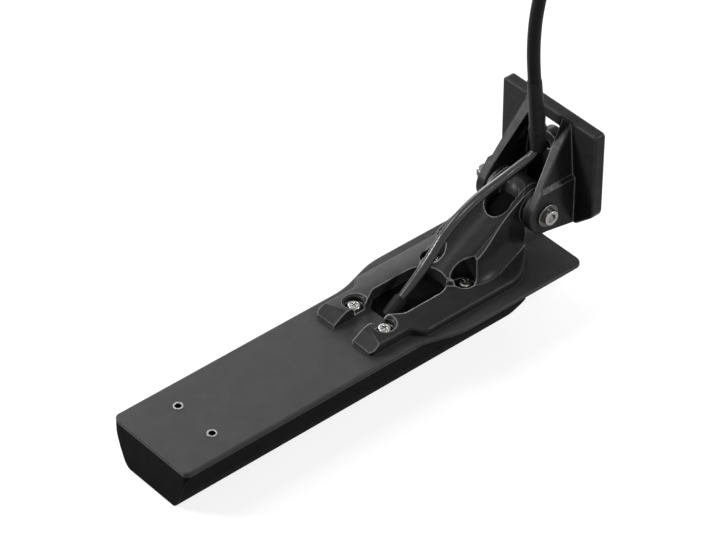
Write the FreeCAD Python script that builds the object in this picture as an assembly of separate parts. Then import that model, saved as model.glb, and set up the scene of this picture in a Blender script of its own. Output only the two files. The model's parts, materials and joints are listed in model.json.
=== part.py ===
"""Transom-mount sonar transducer: a long moulded bar with a wide tail plate, a foot with a
hinge arm, a transom bracket that tilts on it, and the cable with its connector.

Pieces are drawn with x from the bar's nose face and z from the bar's top face, and are then
moved so that the origin is at the centre of the object's footprint. Sizes are millimetres.
"""
import FreeCAD, Part
import math
import os

Vector = FreeCAD.Vector

# Bar: the moulded lower housing and its cover
bar_length = 277.5
bar_width = 62.0
bar_height = 31.4
flank_width = 51.2
flank_depth = 19.5
flank_radius = 30.0
keel_width = 41.0
bilge_radius = 10.0
nose_corner_radius = 3.5
nose_keel_radius = 2.0
stern_from_nose = 249.0
stern_radius = 27.0
stern_corner_radius = 14.0
housing_wall = 2.5
cover_thickness = 2.8
cover_top_radius = 1.2
cover_edge_radius = 0.4
lip_depth = 2.4
lip_width = 1.6
lip_clearance = 1.0
wing_width = 78.0
wing_thickness = 1.8
wing_start_from_nose = 161.0
wing_full_from_nose = 186.0
wing_flare_radius = 50.0
wing_corner_radius = 6.0

# Bushes near the nose and threaded inserts under the foot
bush_from_nose = 30.9
bush_spacing = 28.6
bush_diameter = 6.0
bush_bore = 3.8
bush_length = 9.0
bush_proud = 0.3
insert_diameter = 5.6
insert_length = 8.0
boss_wall = 2.0
boss_floor = 1.5

# Ceramic strips, round element and their carrier, all in the cavity
strip_start_from_nose = 18.0
strip_end_clearance = 6.0
strip_width = 7.0
strip_thickness = 2.0
strip_gap = 1.5
down_strip_width = 8.0
down_strip_clearance = 0.2
foam_thickness = 2.0
carrier_overhang = 4.0
carrier_top_depth = 14.0
carrier_top_width = 32.0
carrier_foot_width = 24.0
round_element_from_nose = 209.0
round_element_diameter = 26.0
round_element_thickness = 8.0
round_foam_thickness = 3.5
board_from_nose = 127.0
board_length = 30.0
board_width = 24.0
board_thickness = 1.6
chip_size = 6.0
chip_height = 1.2
chip_spacing = 9.0
probe_from_nose = 9.0
probe_diameter = 4.0
probe_height = 8.0
probe_recess = 1.0

# Foot: two prongs, a cable opening, flange, arm and hinge head
foot_front_from_nose = 134.0
foot_rear_from_nose = 257.0
foot_crown_height = 8.0
foot_crown_radius = 139.0
foot_nose_height = 2.2
foot_nose_length = 9.5
foot_nose_radius = 12.0
foot_lip_radius = 1.2
prong_width = 46.4
prong_corner_radius = 3.0
flange_width = 59.7
flange_start_from_nose = 168.0
flange_step_length = 6.0
flange_inner_radius = 4.8
flange_outer_radius = 6.0
flange_corner_from_nose = 239.0
flange_corner_radius = 21.6
flange_rear_width = 28.0
flange_rear_radius = 6.0
flange_edge_radius = 1.8
slot_width = 15.8
slot_end_from_nose = 158.0
slot_shoulder_radius = 4.0
opening_width = 26.8
opening_shoulder_radius = 5.0
opening_start_from_nose = 167.0
opening_end_from_nose = 204.9
arm_start_from_nose = 196.0
arm_start_height = 7.5
arm_ridge_rise = 33.5
arm_ridge_end_from_nose = 252.5
arm_ridge_end_radius = 6.0
arm_top_height = 60.0
neck_length = 7.0
neck_low_height = 12.0
neck_drop = 4.5
trough_radius = 24.0
trough_slope = 31.4
trough_start_from_nose = 204.0
trough_start_height = 7.1
arm_pocket_diameter = 17.0
arm_pocket_depth = 5.5
arm_pocket_from_nose = 247.5

# Stations of the arm: share of its length, how much the ridge is wider than the neck on each
# side, how far the skirt stays inside the flange on each side, and where its flank turns upright
arm_stations = [
    (0.0, -2.0, 13.7, 8.0),
    (0.2, 2.6, 4.6, 14.0),
    (0.37, 4.6, 1.6, 18.0),
    (0.6, 2.3, 2.8, 20.0),
    (0.8, 0.2, 7.0, 19.0),
    (1.0, 0.0, 17.0, 15.0),
]

# Foot screws and their recesses
foot_screw_spread = 25.4
front_screw_from_nose = 152.9
rear_screw_from_nose = 212.0
screw_diameter = 4.0
screw_clearance = 0.25
screw_thread_clearance = 0.05
screw_seat_height = 2.0
screw_head_diameter = 7.8
screw_head_height = 2.6
screw_head_radius = 1.1
screw_reach = 6.5
front_recess_diameter = 11.6
recess_mouth_depth = 2.4
recess_mouth_growth = 1.8
rear_recess_diameter = 14.4
rear_recess_forward = 1.6
cross_length = 4.4
cross_width = 0.9
cross_depth = 1.3

# Hinge: head of the foot, sleeve, washers, bolt and nut
pivot_from_nose = 263.0
pivot_height = 31.0
head_radius = 12.3
head_width = 24.2
head_boss_radius = 11.0
head_boss_width = 30.4
head_slot_width = 15.4
head_slot_floor_height = 29.0
head_barrel_radius = 6.9
friction_washer_thickness = 1.0
ear_side_clearance = 0.2
sleeve_diameter = 9.0
sleeve_clearance = 0.05
pivot_bolt_diameter = 6.0
running_clearance = 0.05
pivot_washer_diameter = 14.0
pivot_washer_thickness = 1.2
pivot_head_diameter = 9.5
pivot_head_height = 3.0
pivot_socket_size = 5.0
pivot_socket_depth = 2.0
nut_size = 10.0
nut_height = 5.0
nut_collar_diameter = 8.6
nut_collar_height = 1.6
bolt_past_nut = 1.5

# Transom bracket: plate, two ears, window and screw holes
plate_from_pivot = 20.4
plate_thickness = 7.2
plate_width = 75.2
plate_bottom_height = 14.6
plate_top_height = 82.3
plate_corner_radius = 2.4
plate_shoulder_radius = 8.0
plate_foot_width = 48.4
plate_shoulder_height = 26.7
plate_front_radius = 1.4
plate_back_radius = 0.6
ear_thickness = 6.3
ear_step = 1.9
ear_step_height = 46.5
ear_lean_height = 48.0
ear_lean = 5.8
ear_top_thickness = 7.1
ear_radius = 12.3
ear_edge_radius = 0.9
window_width = 19.0
window_top_margin = 7.5
window_corner_radius = 2.0
mount_hole_diameter = 5.5
upper_hole_height = 56.5
mount_hole_spacing = 32.5
hole_boss_radius = 9.1
core_wall = 2.8
core_rib = 1.8
core_inner_from_middle = 24.5
core_outer_margin = 2.6
core_bottom_height = 37.0
core_count = 3

# Strain relief, lead and boot
gland_slope = 36.0
gland_tip_from_nose = 176.4
gland_tip_height = 4.2
gland_tip_radius = 3.9
gland_root_radius = 4.8
gland_length = 19.0
gland_hole_clearance = 0.1
gland_block_length = 21.0
gland_block_width = 13.0
gland_block_height = 8.0
lead_diameter = 5.8
boot_collar_diameter = 9.6
boot_rim_diameter = 10.3
boot_neck_diameter = 9.2
boot_tip_diameter = 8.3
boot_mouth_diameter = 7.4
boot_mouth_depth = 6.1
boot_collar_height = 14.9
boot_rim_width = 1.6
boot_height = 48.0
boot_lean = 6.0
cable_diameter = 7.6
cable_in_boot = 6.1
cable_clearance = 0.05
bend_share = 0.45

# Hank of the unseen cable, its tie and the connector on it
hank_run_length = 134.0
hank_loop_radius = 22.8
hank_layers = 6
hank_corner_radius = 2.0
waist_columns = 4
waist_length = 13.0
waist_ease = 5.0
waist_approach = 57.0
waist_radius = 20.0
tie_thickness = 1.0
tail_start_from_hank = 25.0
tail_length = 55.0
connector_boot_length = 16.0
connector_boot_diameter = 16.0
connector_grip_length = 24.0
connector_grip_diameter = 18.6
connector_collar_diameter = 20.4
connector_collar_length = 22.0
connector_collar_overlap = 5.0
connector_wall = 1.8
connector_insert_length = 9.0
connector_flutes = 10
flute_radius = 1.1
pin_diameter = 1.2
pin_length = 6.0
pin_circle_diameter = 8.4
pin_count = 4

# Route of the lead, from the strain relief's tip up into the boot
lead_route = [
    (176.4, 0.0, 4.2),
    (183.6, 0.0, 9.4),
    (196.7, 0.0, 20.8),
    (209.9, 0.0, 35.9),
    (230.0, 0.0, 45.8),
    (251.8, 0.0, 49.9),
    (262.7, -2.0, 54.8),
    (268.8, -3.3, 57.8),
    (272.81, -4.0, 62.6),
    (272.2, -4.0, 68.4),
]

# Route of the cable, from inside the boot, up and over, and down to the hank
cable_route = [
    (268.46, -4.0, 104.0),
    (267.36, -4.0, 114.5),
    (266.7, -3.6, 127.0),
    (266.9, -3.3, 140.0),
    (267.8, -3.5, 155.0),
    (271.5, -4.5, 176.0),
    (281.0, -5.5, 199.0),
    (297.5, -7.0, 218.0),
    (320.0, -9.0, 229.0),
    (345.0, -12.0, 229.0),
    (368.0, -15.0, 217.5),
    (386.0, -18.0, 198.0),
    (397.5, -21.0, 174.0),
    (404.5, -24.0, 148.0),
    (408.5, -26.0, 121.0),
    (410.5, -28.0, 93.0),
    (411.5, -29.4, 65.0),
    (412.0, -30.2, 36.5),
    (412.2, -30.4, 6.6),
    (418.4, -30.4, -9.4),
    (430.2, -30.4, -21.2),
    (445.6, -30.4, -27.6),
    (462.0, -30.4, -27.6),
]

along = Vector(1, 0, 0)
across = Vector(0, 1, 0)
upward = Vector(0, 0, 1)
plate_front = pivot_from_nose + plate_from_pivot
overall_length = plate_front + plate_thickness
strip_end = round_element_from_nose - round_element_diameter / 2 - carrier_overhang - strip_end_clearance
strip_length = strip_end - strip_start_from_nose
window_top_height = plate_top_height - window_top_margin
to_origin = Vector(-overall_length / 2, 0, bar_height)


def in_plan(x, y):
    """Point of an outline that is seen from above."""
    return Vector(x, y, 0)


def in_side(x, z):
    """Point of an outline that is seen from the side."""
    return Vector(x, 0, z)


def in_section(y, z):
    """Point of an outline that is seen along the bar."""
    return Vector(0, y, z)


def rounded_face(corners, view):
    """Face inside the corners (u, v, radius), each rounded by its own radius."""
    spots = [view(u, v) for u, v, radius in corners]
    starts = []
    middles = []
    ends = []
    for index, (u, v, radius) in enumerate(corners):
        spot = spots[index]
        back = (spots[index - 1] - spot).normalize()
        ahead = (spots[(index + 1) % len(spots)] - spot).normalize()
        if radius == 0:
            starts.append(spot)
            middles.append(None)
            ends.append(spot)
            continue
        half = back.getAngle(ahead) / 2
        inward = (back + ahead).normalize()
        centre = spot + inward * (radius / math.sin(half))
        starts.append(spot + back * (radius / math.tan(half)))
        middles.append(centre - inward * radius)
        ends.append(spot + ahead * (radius / math.tan(half)))
    edges = []
    for index in range(len(corners)):
        if middles[index] is not None:
            edges.append(Part.Arc(starts[index], middles[index], ends[index]).toShape())
        after = (index + 1) % len(corners)
        if (starts[after] - ends[index]).Length > 1e-4:
            edges.append(Part.LineSegment(ends[index], starts[after]).toShape())
    return Part.Face(Part.Wire(edges))


def prism(corners, view, direction, start, end):
    """Rounded outline pushed along a direction from start to end."""
    face = rounded_face(corners, view)
    face.translate(direction * start)
    return face.extrude(direction * (end - start))


def both_ways(half):
    """Outline seen from above, from its half at y > 0, given from front to rear."""
    return half + [(x, -y, radius) for x, y, radius in reversed(half)]


def both_hands(half):
    """Outline seen along the bar, from its half at y > 0, given from top to bottom."""
    return half + [(-y, z, radius) for y, z, radius in reversed(half)]


def block(x_range, y_range, z_range):
    """Box between the two ends of each range."""
    low = Vector(x_range[0], y_range[0], z_range[0])
    return Part.makeBox(x_range[1] - x_range[0], y_range[1] - y_range[0],
                        z_range[1] - z_range[0], low)


def upright(radius, x, y, bottom, top):
    """Upright cylinder."""
    return Part.makeCylinder(radius, top - bottom, Vector(x, y, bottom), upward)


def crosswise(radius, start, end):
    """Cylinder about the hinge axis from y = start to y = end."""
    return Part.makeCylinder(radius, end - start, Vector(pivot_from_nose, start, pivot_height), across)


def edges_at_height(shape, height):
    """Edges that lie wholly at one height."""
    return [edge for edge in shape.Edges
            if abs(edge.BoundBox.ZMin - height) < 1e-4 and abs(edge.BoundBox.ZMax - height) < 1e-4]


def edges_at_station(shape, x):
    """Edges that lie wholly in the plane at x."""
    return [edge for edge in shape.Edges
            if abs(edge.BoundBox.XMin - x) < 1e-4 and abs(edge.BoundBox.XMax - x) < 1e-4]


def foot_screw_places():
    """The four places (x, y) where the foot is screwed to the bar."""
    return [(x, hand * foot_screw_spread / 2)
            for x in (front_screw_from_nose, rear_screw_from_nose) for hand in (-1, 1)]


def bush_places():
    """The two places (x, y) of the nose bushes."""
    return [(bush_from_nose, hand * bush_spacing / 2) for hand in (-1, 1)]


def bar_form(inset, top):
    """Form of the bar below its cover, set in by a wall, and closed at the height top."""
    half_width = bar_width / 2 - inset
    section = both_hands([
        (half_width, 0, 0),
        (half_width, -cover_thickness, 0),
        (flank_width / 2 - inset, -flank_depth, flank_radius - inset),
        (keel_width / 2 - inset, inset - bar_height, bilge_radius - inset),
    ])
    plan = both_ways([
        (inset, half_width, nose_corner_radius - inset),
        (stern_from_nose - inset, half_width, stern_corner_radius - inset),
    ])
    side = [
        (inset, top, 0),
        (inset, inset - bar_height, max(nose_keel_radius - inset, 0)),
        (stern_from_nose - inset, inset - bar_height, stern_radius - inset),
        (stern_from_nose - inset, top, 0),
    ]
    form = prism(section, in_section, along, 0, stern_from_nose)
    form = form.common(prism(plan, in_plan, upward, -bar_height, 0))
    return form.common(prism(side, in_side, across, -bar_width / 2, bar_width / 2))


def lower_housing():
    """Open moulded shell with a recess in its floor for the temperature probe."""
    shell = bar_form(0, -cover_thickness).cut(bar_form(housing_wall, 0))
    floor = housing_wall - bar_height
    recess = upright(probe_diameter / 2, probe_from_nose, 0, floor - probe_recess, floor)
    return shell.cut(recess)


def cover_corners():
    """Outline of the cover: as wide as the bar in front, flaring to the tail plate."""
    return both_ways([
        (0, bar_width / 2, nose_corner_radius),
        (wing_start_from_nose, bar_width / 2, wing_flare_radius),
        (wing_full_from_nose, wing_width / 2, wing_flare_radius),
        (bar_length, wing_width / 2, wing_corner_radius),
    ])


def cover_base():
    """Part of the cover that seats on the lower housing's rim."""
    corners = both_ways([
        (0, bar_width / 2, nose_corner_radius),
        (stern_from_nose, bar_width / 2, stern_corner_radius),
    ])
    base = prism(corners, in_plan, upward, -cover_thickness, -wing_thickness)
    return base.makeFillet(cover_edge_radius, edges_at_height(base, -cover_thickness))


def cover_lip():
    """Rim under the cover that drops inside the lower housing."""
    outer_inset = housing_wall + lip_clearance
    rings = []
    for inset in (outer_inset, outer_inset + lip_width):
        corners = both_ways([
            (inset, bar_width / 2 - inset, max(nose_corner_radius - inset, lip_width / 2)),
            (stern_from_nose - inset, bar_width / 2 - inset, stern_corner_radius - inset),
        ])
        rings.append(prism(corners, in_plan, upward, -cover_thickness - lip_depth, -cover_thickness))
    return rings[0].cut(rings[1])


def cover_boss(x, y, bore, length, floor):
    """Round boss under the cover round a blind bore, and the bore itself."""
    radius = bore / 2 + boss_wall
    boss = upright(radius, x, y, -length - floor, -cover_thickness)
    return boss, upright(bore / 2, x, y, -length, 0)


def upper_housing():
    """Cover with its thinner tail plate, lip, bosses and the hole for the strain relief."""
    plate = prism(cover_corners(), in_plan, upward, -wing_thickness, 0)
    plate = plate.makeFillet(cover_top_radius, edges_at_height(plate, 0))
    solids = [cover_base(), cover_lip()]
    bores = [gland_cone(gland_hole_clearance)]
    for x, y in foot_screw_places():
        boss, bore = cover_boss(x, y, insert_diameter, insert_length, boss_floor)
        solids.append(boss)
        bores.append(bore)
    for x, y in bush_places():
        boss, bore = cover_boss(x, y, bush_diameter, bush_length - bush_proud, boss_floor)
        solids.append(boss)
        bores.append(bore)
    return plate.fuse(solids).cut(bores).removeSplitter()


def gland_cone(clearance):
    """Tapered slanted sleeve of the strain relief, or its hole when given a clearance."""
    slope = math.radians(gland_slope)
    direction = Vector(math.cos(slope), 0, math.sin(slope))
    tip = Vector(gland_tip_from_nose, 0, gland_tip_height)
    root = tip - direction * gland_length
    return Part.makeCone(gland_root_radius + clearance, gland_tip_radius + clearance,
                         gland_length, root, direction)


def strain_relief():
    """Rubber gland: a block seated under the cover and a slanted sleeve through it."""
    slope = math.radians(gland_slope)
    root_x = gland_tip_from_nose - gland_length * math.cos(slope)
    half_width = gland_block_width / 2
    body = block((root_x - gland_block_length / 2, root_x + gland_block_length / 2),
                 (-half_width, half_width),
                 (-cover_thickness - gland_block_height, -cover_thickness))
    return body.fuse(gland_cone(0)).removeSplitter()


def nose_bushes():
    """Two plain metal bushes in the cover near the nose."""
    bushes = []
    for x, y in bush_places():
        bottom = bush_proud - bush_length
        bush = upright(bush_diameter / 2, x, y, bottom, bush_proud)
        bushes.append(bush.cut(upright(bush_bore / 2, x, y, bottom, bush_proud)))
    return Part.makeCompound(bushes)


def mounting_inserts():
    """Four brass threaded inserts in the cover's bosses."""
    inserts = []
    bore = screw_diameter / 2 + screw_thread_clearance
    for x, y in foot_screw_places():
        insert = upright(insert_diameter / 2, x, y, -insert_length, 0)
        inserts.append(insert.cut(upright(bore, x, y, -insert_length, 0)))
    return Part.makeCompound(inserts)


def flank_seat():
    """Middle of the lower flank's inner face, its inward normal and its downward direction."""
    upper = Vector(0, flank_width / 2 - housing_wall, -flank_depth)
    lower = Vector(0, keel_width / 2 - housing_wall, housing_wall - bar_height)
    down = (lower - upper).normalize()
    inward = Vector(0, down.z, -down.y)
    return (upper + lower) * 0.5, inward, down


def slanted_strip(width, near, far):
    """Strip along the bar at y > 0, parallel to the flank, between two depths from it."""
    middle, inward, down = flank_seat()
    corners = []
    for depth, reach in ((near, -1), (near, 1), (far, 1), (far, -1)):
        corners.append(middle + inward * depth + down * (reach * width / 2))
    strip = Part.Face(Part.makePolygon(corners + [corners[0]]))
    strip.translate(along * strip_start_from_nose)
    return strip.extrude(along * strip_length)


def other_hand(shape):
    """The same shape on the other side of the middle plane."""
    return shape.mirror(Vector(0, 0, 0), across)


def side_element():
    """Ceramic strip that looks out and down through the flank."""
    return slanted_strip(strip_width, strip_gap, strip_gap + strip_thickness)


def cavity_floor():
    """Height of the housing's inner floor."""
    return housing_wall - bar_height


def down_element():
    """Ceramic strip that lies on the floor and looks straight down."""
    half = down_strip_width / 2
    floor = cavity_floor()
    return block((strip_start_from_nose, strip_end), (-half, half),
                 (floor, floor + strip_thickness))


def round_element():
    """Ceramic disc on the floor in front of the stern."""
    floor = cavity_floor()
    return upright(round_element_diameter / 2, round_element_from_nose, 0, floor,
                   floor + round_element_thickness)


def backing_foam():
    """Pads behind the three strips and the disc."""
    near = strip_gap + strip_thickness
    side_pad = slanted_strip(strip_width, near, near + foam_thickness)
    half = down_strip_width / 2
    bottom = cavity_floor() + strip_thickness
    down_pad = block((strip_start_from_nose, strip_end), (-half, half),
                     (bottom, bottom + foam_thickness))
    disc_bottom = cavity_floor() + round_element_thickness
    disc_pad = upright(round_element_diameter / 2, round_element_from_nose, 0, disc_bottom,
                       disc_bottom + round_foam_thickness)
    return Part.makeCompound([side_pad, other_hand(side_pad), down_pad, disc_pad])


def element_frame():
    """Carrier on the floor, with slanted seats for the side strips and a channel below."""
    middle, inward, down = flank_seat()
    seat = middle + inward * (strip_gap + strip_thickness + foam_thickness)
    seat_top = seat - down * (strip_width / 2)
    seat_bottom = seat + down * (strip_width / 2)
    floor = cavity_floor()
    channel_half = down_strip_width / 2 + down_strip_clearance
    channel_top = floor + strip_thickness + foam_thickness
    half = [
        (carrier_top_width / 2, -carrier_top_depth, 0),
        (seat_top.y, seat_top.z, 0),
        (seat_bottom.y, seat_bottom.z, 0),
        (carrier_foot_width / 2, floor, 0),
        (channel_half, floor, 0),
        (channel_half, channel_top, 0),
    ]
    start = strip_start_from_nose - carrier_overhang
    end = strip_end + carrier_overhang
    return prism(both_hands(half), in_section, along, start, end)


def junction_board():
    """Circuit board on the carrier with a row of chips."""
    bottom = -carrier_top_depth
    top = bottom + board_thickness
    board = block((board_from_nose - board_length / 2, board_from_nose + board_length / 2),
                  (-board_width / 2, board_width / 2), (bottom, top))
    chips = []
    for step in (-1, 0, 1):
        x = board_from_nose + step * chip_spacing
        chips.append(block((x - chip_size / 2, x + chip_size / 2), (-chip_size / 2, chip_size / 2),
                           (top, top + chip_height)))
    return board.fuse(chips)


def temperature_probe():
    """Metal slug that stands in the recess of the floor."""
    bottom = cavity_floor() - probe_recess
    return upright(probe_diameter / 2, probe_from_nose, 0, bottom, bottom + probe_height)


def flange_corners():
    """Outer outline of the foot from above, without its cable opening."""
    flange_half = flange_width / 2
    return both_ways([
        (foot_front_from_nose, prong_width / 2, prong_corner_radius),
        (flange_start_from_nose - flange_step_length, prong_width / 2, flange_inner_radius),
        (flange_start_from_nose, flange_half, flange_outer_radius),
        (flange_corner_from_nose, flange_half, flange_corner_radius),
        (foot_rear_from_nose, flange_rear_width / 2, flange_rear_radius),
    ])


def crowned_flange():
    """Flange and prongs with a crowned top and rounded tips."""
    plan = prism(flange_corners(), in_plan, upward, 0, foot_crown_height)
    side = prism([
        (foot_front_from_nose, 0, 0),
        (foot_front_from_nose, foot_nose_height, foot_lip_radius),
        (foot_front_from_nose + foot_nose_length, foot_crown_height, foot_nose_radius),
        (foot_rear_from_nose, foot_crown_height, 0),
        (foot_rear_from_nose, 0, 0),
    ], in_side, across, -flange_width / 2, flange_width / 2)
    crown_start = Vector(foot_front_from_nose, 0, foot_crown_height - foot_crown_radius)
    crown = Part.makeCylinder(foot_crown_radius, foot_rear_from_nose - foot_front_from_nose,
                              crown_start, along)
    return plan.common(side).common(crown)


def flange_rim(flange):
    """Upper edges of the flange and prongs, without those of the rounded tips."""
    tips_end = foot_front_from_nose + foot_nose_length + foot_nose_radius / 2
    return [edge for edge in flange.Edges
            if edge.BoundBox.ZMin > flange_edge_radius / 2 and edge.BoundBox.XMax > tips_end
            and abs(edge.CenterOfMass.y) > slot_width / 2]


def arm_station(x, ridge_half, skirt_half, spring_height):
    """Cross-section of the arm: upright flanks that sweep out into the flange."""
    low = foot_crown_height / 2
    top = arm_top_height
    bend = math.cos(math.pi / 4)
    middle_y = skirt_half - (skirt_half - ridge_half) * bend
    middle_z = spring_height - (spring_height - low) * bend
    edges = []
    for hand in (1, -1):
        foot = Vector(x, hand * skirt_half, low)
        middle = Vector(x, hand * middle_y, middle_z)
        spring = Vector(x, hand * ridge_half, spring_height)
        ridge = Vector(x, hand * ridge_half, top)
        corners = [
            Part.LineSegment(Vector(x, hand * skirt_half, 0), foot).toShape(),
            Part.Arc(foot, middle, spring).toShape(),
            Part.LineSegment(spring, ridge).toShape(),
        ]
        edges.append(corners)
    across_top = Part.LineSegment(Vector(x, ridge_half, top), Vector(x, -ridge_half, top)).toShape()
    across_foot = Part.LineSegment(Vector(x, -skirt_half, 0), Vector(x, skirt_half, 0)).toShape()
    return Part.Wire(edges[0] + [across_top] + list(reversed(edges[1])) + [across_foot])


def arm_body():
    """Arm between the flange and the hinge head, lofted through its stations."""
    neck_half = head_width / 2
    flange_half = flange_width / 2
    span = foot_rear_from_nose - arm_start_from_nose
    stations = []
    for share, wider, inside, spring_height in arm_stations:
        x = arm_start_from_nose + share * span
        stations.append(arm_station(x, neck_half + wider, flange_half - inside, spring_height))
    loft = Part.makeLoft(stations, True, False)
    clip = prism(flange_corners(), in_plan, upward, 0, arm_top_height)
    profile = prism([
        (arm_start_from_nose, 0, 0),
        (arm_start_from_nose, arm_start_height, 0),
        (arm_ridge_end_from_nose, arm_start_height + arm_ridge_rise, arm_ridge_end_radius),
        (pivot_from_nose, pivot_height + head_radius, 0),
        (pivot_from_nose, 0, 0),
    ], in_side, across, -flange_half, flange_half)
    return loft.common(clip).common(profile)


def head_neck():
    """Web that joins the arm to the hinge head."""
    neck_half = head_width / 2
    neck_start = arm_ridge_end_from_nose - neck_length
    ridge_end_height = arm_start_height + arm_ridge_rise
    return prism([
        (neck_start, neck_low_height, 0),
        (neck_start, ridge_end_height - neck_drop, 0),
        (arm_ridge_end_from_nose, ridge_end_height, arm_ridge_end_radius),
        (pivot_from_nose, pivot_height + head_radius, 0),
        (pivot_from_nose, pivot_height - head_radius, 0),
        (foot_rear_from_nose, pivot_height - head_radius, 0),
        (foot_rear_from_nose, neck_low_height, 0),
    ], in_side, across, -neck_half, neck_half)


def trough():
    """Round trough along the top of the arm, with its round pocket."""
    slope = math.radians(trough_slope)
    uphill = Vector(math.cos(slope), 0, math.sin(slope))
    normal = Vector(-math.sin(slope), 0, math.cos(slope))
    start = Vector(trough_start_from_nose, 0, trough_start_height)
    length = (pivot_from_nose - trough_start_from_nose) / math.cos(slope)
    groove = Part.makeCylinder(trough_radius, length, start + normal * trough_radius, uphill)
    reach = (arm_pocket_from_nose - trough_start_from_nose) / math.cos(slope)
    floor = start + uphill * reach - normal * arm_pocket_depth
    pocket = Part.makeCylinder(arm_pocket_diameter / 2, trough_radius, floor, normal)
    return [groove, pocket]


def head_slot():
    """Space between the head's two cheeks, open above, round the barrel of the hinge."""
    half = head_slot_width / 2
    space = block((arm_pocket_from_nose, pivot_from_nose + 2 * head_radius), (-half, half),
                  (head_slot_floor_height, arm_top_height))
    return space.cut(crosswise(head_barrel_radius, -half, half))


def cable_opening():
    """Slot between the prongs that widens to a round-ended opening in the flange."""
    corners = both_ways([
        (foot_front_from_nose - slot_width, slot_width / 2, 0),
        (slot_end_from_nose, slot_width / 2, slot_shoulder_radius),
        (opening_start_from_nose, opening_width / 2, opening_shoulder_radius),
        (opening_end_from_nose, opening_width / 2, opening_width / 2 - 0.01),
    ])
    return prism(corners, in_plan, upward, 0, arm_top_height)


def screw_recess(x, y):
    """Round recess down to a foot screw's seat, with a wider mouth on the prongs."""
    if x == rear_screw_from_nose:
        return upright(rear_recess_diameter / 2, x - rear_recess_forward, y, screw_seat_height,
                       arm_top_height)
    radius = front_recess_diameter / 2
    mouth = Part.makeCone(radius, radius + 2 * recess_mouth_growth, 2 * recess_mouth_depth,
                          Vector(x, y, foot_crown_height - recess_mouth_depth), upward)
    return mouth.fuse(upright(radius, x, y, screw_seat_height, arm_top_height))


def foot_bracket():
    """The moulded foot with its arm and hinge head."""
    flange = crowned_flange()
    flange = flange.makeFillet(flange_edge_radius, flange_rim(flange))
    head = crosswise(head_radius, -head_width / 2, head_width / 2)
    bosses = crosswise(head_boss_radius, -head_boss_width / 2, head_boss_width / 2)
    foot = flange.fuse([arm_body(), head_neck(), head, bosses])
    cuts = trough() + [head_slot(), cable_opening()]
    cuts.append(crosswise(sleeve_diameter / 2 + sleeve_clearance, -head_boss_width, head_boss_width))
    for x, y in foot_screw_places():
        cuts.append(screw_recess(x, y))
        cuts.append(upright(screw_diameter / 2 + screw_clearance, x, y, 0, screw_seat_height))
    return foot.cut(cuts).removeSplitter()


def foot_screws():
    """Four pan head screws with a cross recess."""
    screws = []
    half = cross_length / 2
    top = screw_seat_height + screw_head_height
    for x, y in foot_screw_places():
        head = upright(screw_head_diameter / 2, x, y, screw_seat_height, top)
        head = head.makeFillet(screw_head_radius, edges_at_height(head, top))
        screw = head.fuse(upright(screw_diameter / 2, x, y, -screw_reach, screw_seat_height))
        slots = [
            block((x - half, x + half), (y - cross_width / 2, y + cross_width / 2),
                  (top - cross_depth, top)),
            block((x - cross_width / 2, x + cross_width / 2), (y - half, y + half),
                  (top - cross_depth, top)),
        ]
        screws.append(screw.cut(slots).removeSplitter())
    return Part.makeCompound(screws)


def ear_inner():
    """Distance from the middle to an ear's inner face at the hinge."""
    return head_boss_width / 2 + friction_washer_thickness + ear_side_clearance


def ear_outer():
    """Distance from the middle to an ear's outer face at the hinge."""
    return ear_inner() + ear_thickness


def pivot_sleeve():
    """Metal sleeve in the hinge head that the bolt turns in."""
    half = head_boss_width / 2 + friction_washer_thickness
    sleeve = crosswise(sleeve_diameter / 2, -half, half)
    return sleeve.cut(crosswise(pivot_bolt_diameter / 2 + running_clearance, -half, half))


def friction_washers():
    """Two thin discs between the head's bosses and the ears."""
    washers = []
    for hand in (-1, 1):
        near = hand * head_boss_width / 2
        far = near + hand * friction_washer_thickness
        disc = crosswise(head_boss_radius, min(near, far), max(near, far))
        bore = crosswise(sleeve_diameter / 2 + sleeve_clearance, min(near, far), max(near, far))
        washers.append(disc.cut(bore))
    return Part.makeCompound(washers)


def pivot_washers():
    """Two washers outside the ears."""
    washers = []
    for hand in (-1, 1):
        near = hand * ear_outer()
        far = near + hand * pivot_washer_thickness
        disc = crosswise(pivot_washer_diameter / 2, min(near, far), max(near, far))
        bore = crosswise(pivot_bolt_diameter / 2 + running_clearance, min(near, far), max(near, far))
        washers.append(disc.cut(bore))
    return Part.makeCompound(washers)


def hexagon(size, start, end):
    """Hexagon about the hinge axis, size across its flats."""
    radius = size / math.sqrt(3)
    corners = []
    for step in range(7):
        angle = math.radians(60 * step + 30)
        corners.append(Vector(pivot_from_nose + radius * math.cos(angle), start,
                              pivot_height + radius * math.sin(angle)))
    return Part.Face(Part.makePolygon(corners)).extrude(across * (end - start))


def pivot_bolt():
    """Cap head bolt through both ears and the head, with its head on the right."""
    seat = ear_outer() + pivot_washer_thickness
    head = crosswise(pivot_head_diameter / 2, -seat - pivot_head_height, -seat)
    rim = [edge for edge in head.Edges if abs(edge.BoundBox.YMax + seat + pivot_head_height) < 1e-4]
    head = head.makeFillet(0.5, rim)
    socket = hexagon(pivot_socket_size, -seat - pivot_head_height,
                     -seat - pivot_head_height + pivot_socket_depth)
    end = seat + nut_height + nut_collar_height + bolt_past_nut
    return head.cut(socket).fuse(crosswise(pivot_bolt_diameter / 2, -seat, end)).removeSplitter()


def lock_nut():
    """Hexagon nut with a locking collar on the left end of the bolt."""
    seat = ear_outer() + pivot_washer_thickness
    body = hexagon(nut_size, seat, seat + nut_height)
    chamfer = crosswise(nut_size / 2 + 0.5, seat, seat + nut_height)
    collar = crosswise(nut_collar_diameter / 2, seat + nut_height,
                       seat + nut_height + nut_collar_height)
    nut = body.common(chamfer).fuse(collar)
    bore = crosswise(pivot_bolt_diameter / 2, seat, seat + nut_height + nut_collar_height)
    return nut.cut(bore).removeSplitter()


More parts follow.
